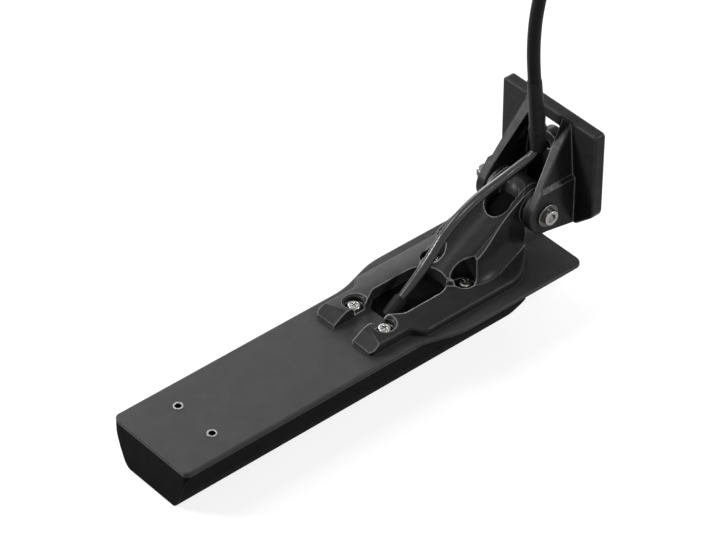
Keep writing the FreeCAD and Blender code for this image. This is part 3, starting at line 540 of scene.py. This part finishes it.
@dataclass(frozen=True)
class Camera:
    """The camera, at the photograph's viewing angle."""

    azimuth: float = -40.8
    elevation: float = 39.65
    distance: float = 2.1028
    target: Place = (0.0321, 0.0377, 0.0314)
    focal_length: float = 190.56
    sensor_width: float = 36.0
    near_clip: float = 0.05
    far_clip: float = 40.0

    def build(self) -> None:
        """Place the camera and make it the scene's own."""
        turn = math.radians(self.azimuth)
        rise = math.radians(self.elevation)
        away = Vector((math.sin(turn) * math.cos(rise), -math.cos(turn) * math.cos(rise), math.sin(rise)))
        lens = bpy.data.cameras.new("camera")
        lens.lens = self.focal_length
        lens.sensor_width = self.sensor_width
        lens.sensor_fit = "HORIZONTAL"
        lens.clip_start = self.near_clip
        lens.clip_end = self.far_clip
        camera = bpy.data.objects.new("camera", lens)
        camera.location = Vector(self.target) + away * self.distance
        camera.rotation_euler = (-away).to_track_quat("-Z", "Y").to_euler()
        bpy.context.scene.collection.objects.link(camera)
        bpy.context.scene.camera = camera


@dataclass(frozen=True)
class SoftBox:
    """A rectangular studio lamp that faces the object."""

    name: str
    direction: Place
    distance: float
    size: tuple[float, float]
    power: float

    def build(self, target: Vector) -> None:
        """Hang the lamp and turn it to the target.

        Args:
            target: the place that it faces, in metres of the row frame.
        """
        lamp = bpy.data.lights.new(self.name, "AREA")
        lamp.shape = "RECTANGLE"
        lamp.size, lamp.size_y = self.size
        lamp.energy = self.power
        away = Vector(self.direction).normalized()
        holder = bpy.data.objects.new(self.name, lamp)
        holder.location = target + away * self.distance
        holder.rotation_euler = (-away).to_track_quat("-Z", "Y").to_euler()
        bpy.context.scene.collection.objects.link(holder)


@dataclass(frozen=True)
class Studio:
    """A pale floor, a white surround and soft lamps."""

    floor_size: float = 24.0
    floor_colour: Place = (0.3, 0.3, 0.3)
    floor_lift: float = 0.74
    fade_start: float = 0.7
    fade_end: float = 2.2
    ambient: float = 0.16
    target: Place = (0.03, 0.0, 0.05)
    lamps: tuple[SoftBox, ...] = (
        SoftBox("low_behind", (0.5, 0.8, 0.28), 1.7, (0.8, 0.5), 9.0),
        SoftBox("left", (0.2, 0.78, 0.6), 1.7, (0.8, 0.6), 9.0),
        SoftBox("high_left", (-0.4, 0.45, 0.8), 1.6, (0.5, 0.5), 9.0),
        SoftBox("low_left", (-0.70, 0.58, 0.39), 1.5, (0.3, 0.65), 22.0),
        SoftBox("front", (-0.07, -0.55, 0.685), 1.6, (0.34, 0.3), 4.0),
        SoftBox("near_right", (0.5, -0.61, 0.556), 1.6, (0.22, 0.22), 15.0),
    )

    def build(self) -> None:
        """Set the view, the world, the floor and the lamps."""
        bpy.context.scene.view_settings.view_transform = "Standard"
        self.surround()
        self.floor()
        for lamp in self.lamps:
            lamp.build(Vector(self.target))

    def seen_directly(self, graph: NodeGraph) -> bpy.types.NodeSocket:
        """Tell the rays that see the background from those that only light the object.

        Args:
            graph: the graph of the floor's or the world's material.

        Returns:
            A socket that is 1 for the rays that see it, and otherwise 0.
        """
        rays = graph.add("ShaderNodeLightPath").outputs
        polished = graph.math("MAXIMUM", rays["Is Glossy Ray"], rays["Is Transmission Ray"])
        return graph.math("MAXIMUM", rays["Is Camera Ray"], polished)

    def surround(self) -> None:
        """Make the world white to look at, and dimmer as a light."""
        world = bpy.data.worlds.new("surround")
        world.use_nodes = True
        graph = NodeGraph(world.node_tree)
        dim = graph.add("ShaderNodeBackground", Color=WHITE, Strength=self.ambient)
        white = graph.add("ShaderNodeBackground", Color=WHITE, Strength=1.0)
        mixed = graph.add("ShaderNodeMixShader", Fac=self.seen_directly(graph))
        graph.plug(mixed.inputs[1], dim.outputs[0])
        graph.plug(mixed.inputs[2], white.outputs[0])
        graph.add("ShaderNodeOutputWorld", Surface=mixed.outputs[0])
        bpy.context.scene.world = world

    def floor(self) -> None:
        """Lay the floor, which keeps the object's shadow and is clear from below."""
        mesh = bpy.data.meshes.new("floor")
        half = self.floor_size / 2
        corners = [(-half, -half, 0.0), (half, -half, 0.0), (half, half, 0.0), (-half, half, 0.0)]
        mesh.from_pydata(corners, [], [(0, 1, 2, 3)])
        material = bpy.data.materials.new("floor")
        material.use_nodes = True
        graph = NodeGraph(material.node_tree)
        matt = graph.add("ShaderNodeBsdfDiffuse", Color=shade_of(self.floor_colour, 1.0))
        place = graph.add("ShaderNodeNewGeometry").outputs["Position"]
        away = graph.add("ShaderNodeVectorMath", {"operation": "LENGTH"})
        graph.plug(away.inputs[0], place)
        reach = (self.fade_start, self.fade_end)
        fade = graph.remap(away.outputs["Value"], reach, (self.floor_lift, 1.0))
        glow = graph.add("ShaderNodeEmission", Strength=fade)
        lifted = graph.add("ShaderNodeAddShader")
        graph.plug(lifted.inputs[0], matt.outputs[0])
        graph.plug(lifted.inputs[1], glow.outputs[0])
        seen = graph.add("ShaderNodeMixShader", Fac=self.seen_directly(graph))
        graph.plug(seen.inputs[1], matt.outputs[0])
        graph.plug(seen.inputs[2], lifted.outputs[0])
        below = graph.add("ShaderNodeNewGeometry").outputs["Backfacing"]
        sided = graph.add("ShaderNodeMixShader", Fac=below)
        graph.plug(sided.inputs[1], seen.outputs[0])
        graph.plug(sided.inputs[2], graph.add("ShaderNodeBsdfTransparent").outputs[0])
        graph.add("ShaderNodeOutputMaterial", Surface=sided.outputs[0])
        mesh.materials.append(material)
        floor = bpy.data.objects.new("floor", mesh)
        bpy.context.scene.collection.objects.link(floor)


@dataclass(frozen=True)
class SensorLead:
    """The thin lead from the bar's strain relief up into the boot."""

    diameter: float = 5.8
    length: float = 121.0
    route: tuple[Place, ...] = (
        (176.4, 0.0, 4.2),
        (183.6, 0.0, 9.4),
        (196.7, 0.0, 20.8),
        (209.9, 0.0, 35.9),
        (230.0, 0.0, 45.8),
        (251.8, 0.0, 49.9),
        (262.7, -2.0, 54.8),
        (268.8, -3.3, 57.8),
        (272.81, -4.0, 62.6),
        (272.2, -4.0, 68.4),
    )

    def build(self, workshop: Workshop) -> list[bpy.types.Object]:
        """Args:
            workshop: where the piece is dressed and registered.

        Returns:
            The lead.
        """
        points = [at_nose(*place) for place in self.route]
        lead = workshop.add(round_cord("lead", points, self.diameter), Finishes.LEAD, Body.TRANSDUCER)
        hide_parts("sensor_lead")
        return [lead]


@dataclass(frozen=True)
class Hank:
    """The folded and tied length of the cable: an oval hank, nipped in at its waist."""

    near_centre: float = 496.2
    far_centre: float = 630.2
    inner_radius: float = 23.0
    pitch: float = 7.65
    layers: int = 6
    floor_height: float = -27.6
    waist_half_length: float = 8.0
    waist_lift: float = 1.0
    shoulder_from_middle: float = 62.0
    stations: tuple[float, ...] = (62.0, 48.0, 34.0, 20.0, 8.0)
    loop_points: int = 6
    reach_step: float = 7.3
    loose_stations: tuple[float, ...] = (506.0, 530.0, 555.0, 580.0)
    loose_end: float = 592.0

    def level(self, layer: float) -> float:
        """Height of a layer's centre line."""
        return self.floor_height + layer * self.pitch

    def lane(self, lane: int) -> float:
        """Distance of a lane's centre line from the hank's middle, at the loops."""
        return self.inner_radius + lane * self.pitch

    def run(self, side: int, lane: int, layer: float, heading: int) -> list[Place]:
        """Follow one lane past the waist.

        Args:
            side: 1 for the left side and -1 for the right side.
            lane: 0 for the inner lane and 1 for the outer one.
            layer: the layer, counted from the floor.
            heading: 1 away from the bar and -1 back to it.

        Returns:
            The run's control points in the nose frame.
        """
        middle = (self.near_centre + self.far_centre) / 2
        taper = self.shoulder_from_middle - self.waist_half_length
        narrow = self.pitch / 2
        gain = self.inner_radius - narrow
        signed = [-s for s in self.stations] + [s for s in reversed(self.stations)]
        points = []
        for station in signed:
            share = (abs(station) - self.waist_half_length) / taper
            ease = (1 - math.cos(math.pi * share)) / 2
            slope = gain * math.pi / 2 / taper * math.sin(math.pi * share)
            offset = lane * self.pitch * math.hypot(1.0, slope)
            width = narrow + gain * ease + offset
            height = self.level(layer) + self.waist_lift * (1.0 - ease)
            points.append((middle + heading * station, side * width, height))
        return points

    def end_loop(
        self,
        end: int,
        lanes: tuple[int, int],
        layers: tuple[float, float],
        reach: float,
        centre_x: float | None = None,
    ) -> list[Place]:
        """Turn round one end of the hank.

        Args:
            end: -1 for the end near the bar and 1 for the far end.
            lanes: the lane it comes from and the lane it goes to.
            layers: the layer it comes from and the layer it goes to.
            reach: how far the loop stands out past its centre.
            centre_x: where its centre is, if not at the end of the runs.

        Returns:
            The loop's control points in the nose frame.
        """
        step = math.pi / self.loop_points
        polygon = 1 / (1 - (1 - math.cos(step)) / 4)
        if centre_x is None:
            centre_x = self.near_centre if end < 0 else self.far_centre
        start = -end * self.lane(lanes[0])
        finish = end * self.lane(lanes[1])
        centre_y = (start + finish) / 2
        half = (start - finish) / 2
        points = []
        for count in range(self.loop_points):
            angle = step * (count + 0.5)
            share = angle / math.pi
            climb = share * share * (3 - 2 * share)
            height = self.level(layers[0] + (layers[1] - layers[0]) * climb)
            x = centre_x + end * reach * polygon * math.sin(angle)
            y = centre_y + half * polygon * math.cos(angle)
            points.append((x, y, height))
        return points

    def turns(self) -> list[Place]:
        """Wind every turn, two lanes to a layer, from the floor up.

        Returns:
            The control points in the nose frame, up to the loop that leads off the top.
        """
        points = []
        for layer in range(self.layers):
            lanes = (1, 0) if layer % 2 == 0 else (0, 1)
            for lane in lanes:
                points += self.run(-1, lane, layer, 1)
                points += self.end_loop(1, (lane, lane), (layer, layer), self.lane(lane))
                points += self.run(1, lane, layer, -1)
                if lane == lanes[0]:
                    reach = self.inner_radius + self.reach_step
                    points += self.end_loop(-1, lanes, (layer, layer), reach)
                else:
                    reach = self.inner_radius + 2 * lane * self.reach_step
                    goal = 0 if layer == self.layers - 1 else lane
                    points += self.end_loop(-1, (lane, goal), (layer, layer + 1), reach)
        return points

    def loose_turn(self) -> list[Place]:
        """Lay the last turn on top, outside the strap and round the connector.

        Returns:
            The turn's control points in the nose frame.
        """
        top = self.layers
        side = self.inner_radius
        points = [(x, -side, self.level(top)) for x in self.loose_stations]
        points += self.end_loop(1, (0, 0), (top, top), side, self.loose_end)
        points += [(x, side, self.level(top)) for x in reversed(self.loose_stations)]
        points += self.end_loop(-1, (0, 0), (top, top + 1), side)
        return points


@dataclass(frozen=True)
class MainCable:
    """The thick cable: up and over out of its boot, through the hank, to the connector."""

    diameter: float = 7.6
    length: float = 6.39
    hank: Hank = field(default_factory=Hank)
    connector_from_nose: float = 546.0
    connector_height: float = 26.4
    seal_from_nose: float = 588.0
    key_start: float = 584.5
    key_end: float = 592.4
    key_half_width: float = 0.9
    key_heights: tuple[float, float] = (6.4, 7.5)
    seal_radius: float = 6.75
    ridge_radius: float = 7.9
    trim_thickness: float = 0.45
    ridge_places: tuple[float, ...] = (545.5, 549.0, 552.5)
    tail_steps: tuple[Place, ...] = (
        (42.0, 1.0, 0.0),
        (32.0, 0.8, 0.15),
        (22.0, 0.42, 0.5),
        (13.0, 0.1, 0.86),
        (5.0, 0.0, 1.0),
        (0.0, 0.0, 1.0),
    )
    mouth: Place = BOOT_MOUTH
    route: tuple[Place, ...] = (
        (268.46, -4.0, 104.0),
        (267.36, -4.0, 114.5),
        (266.7, -3.6, 127.0),
        (266.9, -3.3, 140.0),
        (267.8, -3.5, 155.0),
        (271.5, -4.5, 176.0),
        (281.0, -5.5, 199.0),
        (297.5, -7.0, 218.0),
        (320.0, -9.0, 229.0),
        (345.0, -12.0, 229.0),
        (368.0, -15.0, 217.5),
        (386.0, -18.0, 198.0),
        (397.5, -21.0, 174.0),
        (404.5, -24.0, 148.0),
        (408.5, -26.0, 121.0),
        (410.5, -28.0, 93.0),
        (411.5, -29.4, 65.0),
        (412.0, -30.2, 36.5),
        (412.2, -30.4, 6.6),
        (418.4, -30.4, -9.4),
        (430.2, -30.4, -21.2),
        (445.6, -30.4, -27.6),
        (462.0, -30.4, -27.6),
    )

    def tail(self) -> list[Place]:
        """Lead the cable from the top of the hank into the connector's boot.

        Each of tail_steps says how far before the boot it is, what share of the lane's offset
        it keeps, and what share of the rise it has made.

        Returns:
            The tail's control points in the nose frame.
        """
        low = self.hank.level(self.hank.layers + 1)
        rise = self.connector_height - low
        lane = -self.hank.inner_radius
        end = self.connector_from_nose
        return [(end - before, lane * aside, low + rise * up) for before, aside, up in self.tail_steps]

    def fittings(self, workshop: Workshop) -> list[bpy.types.Object]:
        """Build the seal and the key in the connector's nose, and the ridges of its rubber boot.

        Args:
            workshop: where the pieces are dressed and registered.

        Returns:
            The pieces.
        """
        away = Vector((1.0, 0.0, 0.0))
        height = self.connector_height
        thick = self.trim_thickness
        centre = (self.seal_from_nose, 0.0, height)
        seal = coil_about("connector_seal", centre, away, self.seal_radius, thick, 0.0, 1.0)
        low, high = self.key_heights
        half = self.key_half_width
        start, end = self.key_start, self.key_end
        corners = [(start, -half), (end, -half), (end, half), (start, half)]
        key = plate_of("connector_key", corners, height + low, height + high)
        made = [
            workshop.add(seal, Finishes.RELIEF, Body.TRANSDUCER),
            workshop.add(key, Finishes.CONNECTOR, Body.TRANSDUCER),
        ]
        for number, x in enumerate(self.ridge_places):
            centre = (x, 0.0, height)
            ridge = coil_about(f"boot_ridge_{number}", centre, away, self.ridge_radius, thick, 0.0, 1.0)
            made.append(workshop.add(ridge, Finishes.RELIEF, Body.TRANSDUCER))
        return made

    def build(self, workshop: Workshop) -> list[bpy.types.Object]:
        """Args:
            workshop: where the pieces are dressed and registered.

        Returns:
            The cable.
        """
        strap = Strap().build(workshop)
        fittings = self.fittings(workshop)
        places = [*self.route, *self.hank.turns(), *self.hank.loose_turn(), *self.tail()]
        points = [at_nose(*place) for place in places]
        cable = workshop.add(round_cord("cable", points, self.diameter), Finishes.JACKET, Body.TRANSDUCER)
        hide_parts("main_cable", "cable_hank")
        return [cable, *strap, *fittings]


@dataclass(frozen=True)
class HeadWeb:
    """The web between the hinge head's cheeks, which closes the arm's oval pocket behind."""

    half_width: float = 7.65
    pivot: tuple[float, float] = (263.0, 31.0)
    head_radius: float = 12.2
    pocket_centre: float = 250.9
    pocket_radius: float = 8.5
    back_wall: tuple[tuple[float, float], ...] = ((255.5, 29.1), (256.0, 33.5), (257.6, 37.0))
    ridge_end: tuple[float, float] = (252.5, 40.9)
    trough_start: tuple[float, float] = (204.0, 7.1)
    trough_slope: float = 31.4
    trough_radius: float = 24.0
    rows: int = 24
    top_steps: int = 8
    round_steps: int = 14
    round_sweep: float = 99.0
    pocket_mouth: Place = (247.5, 0.0, 33.65)
    # A black disc set in the pocket is painted shade: it darkens the pocket's inside.
    shade_disc_depth: float = 3.0
    shade_disc_thickness: float = 0.5
    shade_disc_radius: float = 8.3
    shade_disc_corners: int = 48

    def top(self, x: float, y: float) -> float:
        """Find the height of the web's top: the trough's floor, under the head's own outline.

        Args:
            x: millimetres behind the bar's nose face.
            y: millimetres to the left of the middle.

        Returns:
            The height in the nose frame.
        """
        slope = math.radians(self.trough_slope)
        rise = self.trough_radius - math.sqrt(self.trough_radius**2 - y * y)
        climb = (x - self.trough_start[0]) * math.tan(slope)
        floor = self.trough_start[1] + climb + rise / math.cos(slope)
        share = (x - self.ridge_end[0]) / (self.pivot[0] - self.ridge_end[0])
        outline = self.ridge_end[1] + share * (self.pivot[1] + self.head_radius - self.ridge_end[1])
        return min(floor, outline)

    def section(self, y: float) -> list[Vector]:
        """Outline of the web at one distance from the middle.

        Args:
            y: millimetres to the left of the middle.

        Returns:
            The outline's corners.
        """
        edge = self.pocket_centre + math.sqrt(self.pocket_radius**2 - y * y)
        places = [(min(edge, x), z) for x, z in self.back_wall]
        for step in range(self.top_steps + 1):
            x = edge + (self.pivot[0] - edge) * step / self.top_steps
            places.append((x, self.top(x, y)))
        for step in range(1, self.round_steps + 1):
            angle = math.radians(90 - self.round_sweep * step / self.round_steps)
            x = self.pivot[0] + self.head_radius * math.cos(angle)
            places.append((x, self.pivot[1] + self.head_radius * math.sin(angle)))
        return [at_nose(x, y, z) for x, z in places]

    def pocket_shade_disc(self) -> bpy.types.Object:
        """Make the pocket's black disc of painted shade, square to the trough.

        Returns:
            The floor, not yet in the scene.
        """
        slope = math.radians(self.trough_slope)
        uphill = Vector((math.cos(slope), 0.0, math.sin(slope)))
        normal = Vector((-math.sin(slope), 0.0, math.cos(slope)))
        rings = []
        mesh = bmesh.new()
        for depth in (self.shade_disc_depth, self.shade_disc_depth + self.shade_disc_thickness):
            centre = Vector(self.pocket_mouth) - normal * depth
            ring = []
            for step in range(self.shade_disc_corners):
                angle = math.tau * step / self.shade_disc_corners
                out = uphill * math.cos(angle) + Vector((0.0, math.sin(angle), 0.0))
                ring.append(mesh.verts.new(at_nose(*(centre + out * self.shade_disc_radius))))
            rings.append(ring)
        bridge(mesh, *rings)
        mesh.faces.new(rings[0])
        mesh.faces.new(list(reversed(rings[1])))
        bmesh.ops.recalc_face_normals(mesh, faces=mesh.faces)
        return finished("pocket_shade_disc", mesh)

    def build(self, workshop: Workshop) -> list[bpy.types.Object]:
        """Build the web and the black disc of painted shade in the pocket.

        Args:
            workshop: where the pieces are dressed and registered.

        Returns:
            The pieces.
        """
        mesh = bmesh.new()
        last = None
        for row in range(self.rows + 1):
            y = self.half_width * (2 * row / self.rows - 1)
            ring = [mesh.verts.new(place) for place in self.section(y)]
            if last is None:
                mesh.faces.new(ring)
            else:
                bridge(mesh, last, ring)
            last = ring
        mesh.faces.new(list(reversed(last)))
        bmesh.ops.recalc_face_normals(mesh, faces=mesh.faces)
        return [
            workshop.add(finished("head_web", mesh), Finishes.BRACKET, Body.TRANSDUCER),
            workshop.add(self.pocket_shade_disc(), Finishes.SHADE_SHEET, Body.TRANSDUCER),
        ]


@dataclass(frozen=True)
class Strap:
    """The woven strap round the hank's waist, wound on itself with a rounded free end."""

    middle: float = 563.2
    width: float = 12.6
    thickness: float = 0.9
    half_width: float = 15.3
    bottom: float = -30.5
    top: float = 15.5
    corner: float = 4.0
    overlap: float = 31.0
    overlap_gap: float = 0.12
    lift_start: float = 0.86
    tip_half_width: float = 0.4
    step: float = 1.0

    def side(self, travelled: float) -> tuple[float, float, float, float]:
        """Follow the strap's inner face round the waist.

        Args:
            travelled: millimetres along it from the middle of the left side, upwards.

        Returns:
            The place (y, z) and the outward direction (y, z).
        """
        wide = self.half_width - self.corner
        high = (self.top - self.bottom) / 2 - self.corner
        centre = (self.top + self.bottom) / 2
        quarter = math.pi / 2 * self.corner
        legs = (high, quarter, 2 * wide, quarter, 2 * high, quarter, 2 * wide, quarter, high)
        left = travelled % sum(legs)
        corners = ((wide, high), (-wide, high), (-wide, -high), (wide, -high))
        for count, leg in enumerate(legs):
            if left <= leg:
                break
            left -= leg
        if count % 2:
            centre_y, centre_z = corners[count // 2]
            angle = math.pi / 2 * (count // 2) + left / self.corner
            out_y, out_z = math.cos(angle), math.sin(angle)
            return (centre_y + self.corner * out_y, centre + centre_z + self.corner * out_z, out_y, out_z)
        out_y, out_z = ((1, 0), (0, 1), (-1, 0), (0, -1), (1, 0))[count // 2]
        along = left if count == 0 else left - leg / 2
        if count == len(legs) - 1:
            along = left - high
        place_y = out_y * self.half_width - out_z * along
        place_z = centre + out_z * (high + self.corner) + out_y * along
        return (place_y, place_z, out_y, out_z)

    def lap(self) -> float:
        """Find the length once round the waist.

        Returns:
            The length in millimetres.
        """
        wide = self.half_width - self.corner
        high = (self.top - self.bottom) / 2 - self.corner
        return 4 * wide + 4 * high + 2 * math.pi * self.corner

    def section(self, travelled: float, end: float) -> list[Vector]:
        """Make the strap's rounded section at one place.

        Args:
            travelled: millimetres along it.
            end: where its free end is.

        Returns:
            The section's corners.
        """
        y, z, out_y, out_z = self.side(travelled)
        turns = travelled / self.lap()
        share = (turns - self.lift_start) / (1.0 - self.lift_start)
        lift = (self.thickness + self.overlap_gap) * min(max(share, 0.0), 1.0)
        half = self.width / 2
        past = max(travelled - (end - half), 0.0)
        half = max(math.sqrt(max(half * half - past * past, 0.0)), self.tip_half_width)
        ease = self.thickness / 3
        profile = (
            (-half, ease), (-half, 2 * ease), (-half + ease, 3 * ease), (half - ease, 3 * ease),
            (half, 2 * ease), (half, ease), (half - ease, 0.0), (-half + ease, 0.0),
        )
        corners = []
        for sideways, outward in profile:
            reach = lift + outward
            corners.append(at_nose(self.middle + sideways, y + out_y * reach, z + out_z * reach))
        return corners

    def build(self, workshop: Workshop) -> list[bpy.types.Object]:
        """Build the strap in place of its block.

        Args:
            workshop: where the piece is dressed and registered.

        Returns:
            The strap.
        """
        mesh = bmesh.new()
        end = self.lap() + self.overlap
        count = round(end / self.step)
        last = None
        for number in range(count + 1):
            ring = [mesh.verts.new(place) for place in self.section(end * number / count, end)]
            if last is None:
                mesh.faces.new(ring)
            else:
                bridge(mesh, last, ring)
            last = ring
        mesh.faces.new(list(reversed(last)))
        bmesh.ops.recalc_face_normals(mesh, faces=mesh.faces)
        strap = workshop.add(finished("strap", mesh), Finishes.STRAP, Body.TRANSDUCER)
        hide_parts("hank_tie")
        return [strap]


class Bar:
    """The bar: its two mouldings, the bushes in its nose and what it holds inside."""

    def build(self, workshop: Workshop) -> list[bpy.types.Object]:
        """Dress the bar's pieces.

        Args:
            workshop: where the pieces are dressed.

        Returns:
            The dressed pieces.
        """
        pieces = workshop.dress(Finishes.SHELL, "lower_housing")
        pieces += workshop.dress(Finishes.COVER, "upper_housing")
        pieces += workshop.dress(Finishes.POLISHED, "nose_bushes")
        pieces += workshop.dress(Finishes.BRASS, "mounting_inserts", "temperature_probe")
        ceramics = ("side_element_left", "side_element_right", "down_element", "round_element")
        pieces += workshop.dress(Finishes.CERAMIC, *ceramics)
        pieces += workshop.dress(Finishes.FOAM, "backing_foam")
        pieces += workshop.dress(Finishes.CARRIER, "element_frame")
        pieces += workshop.dress(Finishes.BOARD, "junction_board")
        return pieces


@dataclass(frozen=True)
class Foot:
    """The foot that carries the hinge, with its screws and the rubber parts on the lead."""

    # The sheet in the cable opening is painted shade: a black sheet where the opening lies in shade.
    shade_sheet_start: float = 161.0
    shade_sheet_shoulder: float = 167.6
    shade_sheet_centre: float = 191.5
    shade_sheet_narrow: float = 7.6
    shade_sheet_half: float = 13.1
    shade_sheet_faces: tuple[float, float] = (0.03, 0.4)
    shade_sheet_steps: int = 18
    boot_mouth: Place = BOOT_MOUTH
    boot_axis: Place = (-0.104, 0.0, 0.9946)
    bead_radius: float = 3.78
    bead_thickness: float = 0.37

    def shade_sheet(self) -> bpy.types.Object:
        """Make the black sheet of painted shade on the bar, in the foot's cable opening.

        Returns:
            The sheet, not yet in the scene.
        """
        outline = [
            (self.shade_sheet_start, -self.shade_sheet_narrow),
            (self.shade_sheet_shoulder, -self.shade_sheet_half),
            (self.shade_sheet_centre, -self.shade_sheet_half),
        ]
        for step in range(1, self.shade_sheet_steps):
            angle = math.pi * (step / self.shade_sheet_steps - 0.5)
            x = self.shade_sheet_centre + self.shade_sheet_half * math.cos(angle)
            outline.append((x, self.shade_sheet_half * math.sin(angle)))
        outline += [(x, -y) for x, y in reversed(outline[:3])]
        return plate_of("foot_shade_sheet", outline, *self.shade_sheet_faces)

    def build(self, workshop: Workshop) -> list[bpy.types.Object]:
        """Dress the foot's pieces, and add the black sheet of painted shade and the lip of the cable's
        boot.

        Args:
            workshop: where the pieces are dressed and registered.

        Returns:
            The pieces.
        """
        pieces = workshop.dress(Finishes.BRACKET, "foot_bracket")
        pieces += workshop.dress(Finishes.STAINLESS, "foot_screws", "pivot_sleeve")
        pieces += workshop.dress(Finishes.RELIEF, "strain_relief", "cable_boot")
        pieces += workshop.dress(Finishes.WASHER, "friction_washers")
        pieces.append(workshop.add(self.shade_sheet(), Finishes.SHADE_SHEET, Body.TRANSDUCER))
        axis = Vector(self.boot_axis)
        thick = self.bead_thickness
        bead = coil_about("boot_bead", self.boot_mouth, axis, self.bead_radius, thick, 0.0, 1.0)
        pieces.append(workshop.add(bead, Finishes.RELIEF, Body.TRANSDUCER))
        return pieces + HeadWeb().build(workshop)


@dataclass(frozen=True)
class TransomBracket:
    """The bracket that is screwed to the boat, with the hinge bolt."""

    nut_end: Place = (263.0, 30.5, 31.0)
    thread_radius: float = 3.0
    thread_depth: float = 0.16
    thread_pitch: float = 0.75
    thread_turns: float = 1.75
    nylon_radius: float = 3.55
    nylon_thickness: float = 0.3

    def build(self, workshop: Workshop) -> list[bpy.types.Object]:
        """Dress the bracket's pieces, and add the bolt's thread and the nut's locking ring.

        Args:
            workshop: where the pieces are dressed and registered.

        Returns:
            The pieces.
        """
        pieces = workshop.dress(Finishes.BRACKET, "transom_bracket")
        pieces += workshop.dress(Finishes.STAINLESS, "pivot_bolt")
        pieces += workshop.dress(Finishes.DARK_STEEL, "pivot_washers", "lock_nut")
        left = Vector((0.0, 1.0, 0.0))
        end = self.nut_end
        depth, pitch, turns = self.thread_depth, self.thread_pitch, self.thread_turns
        thread = coil_about("bolt_thread", end, left, self.thread_radius, depth, pitch, turns)
        nylon = coil_about("nut_nylon", end, left, self.nylon_radius, self.nylon_thickness, 0.0, 1.0)
        pieces.append(workshop.add(thread, Finishes.DARK_STEEL, Body.BRACKET))
        pieces.append(workshop.add(nylon, Finishes.WASHER, Body.BRACKET))
        return pieces


class Connector:
    """The round connector on the cable's far end."""

    def build(self, workshop: Workshop) -> list[bpy.types.Object]:
        """Dress the connector's pieces.

        Args:
            workshop: where the pieces are dressed.

        Returns:
            The dressed pieces.
        """
        pieces = workshop.dress(Finishes.RELIEF, "connector_body")
        pieces += workshop.dress(Finishes.CONNECTOR, "connector_collar", "connector_insert")
        pieces += workshop.dress(Finishes.BRASS, "connector_pins")
        return pieces


def main() -> None:
    """Build the studio, then every sub-assembly."""
    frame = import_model()
    Camera().build()
    Studio().build()
    workshop = Workshop(frame)
    for part in (SensorLead(), MainCable(), Bar(), Foot(), TransomBracket(), Connector()):
        for piece in part.build(workshop):
            LOG.info("%s: %s", type(part).__name__, piece.name)


if __name__ == "__main__":
    logging.basicConfig(level=logging.INFO, format="%(name)s %(message)s")
    main()
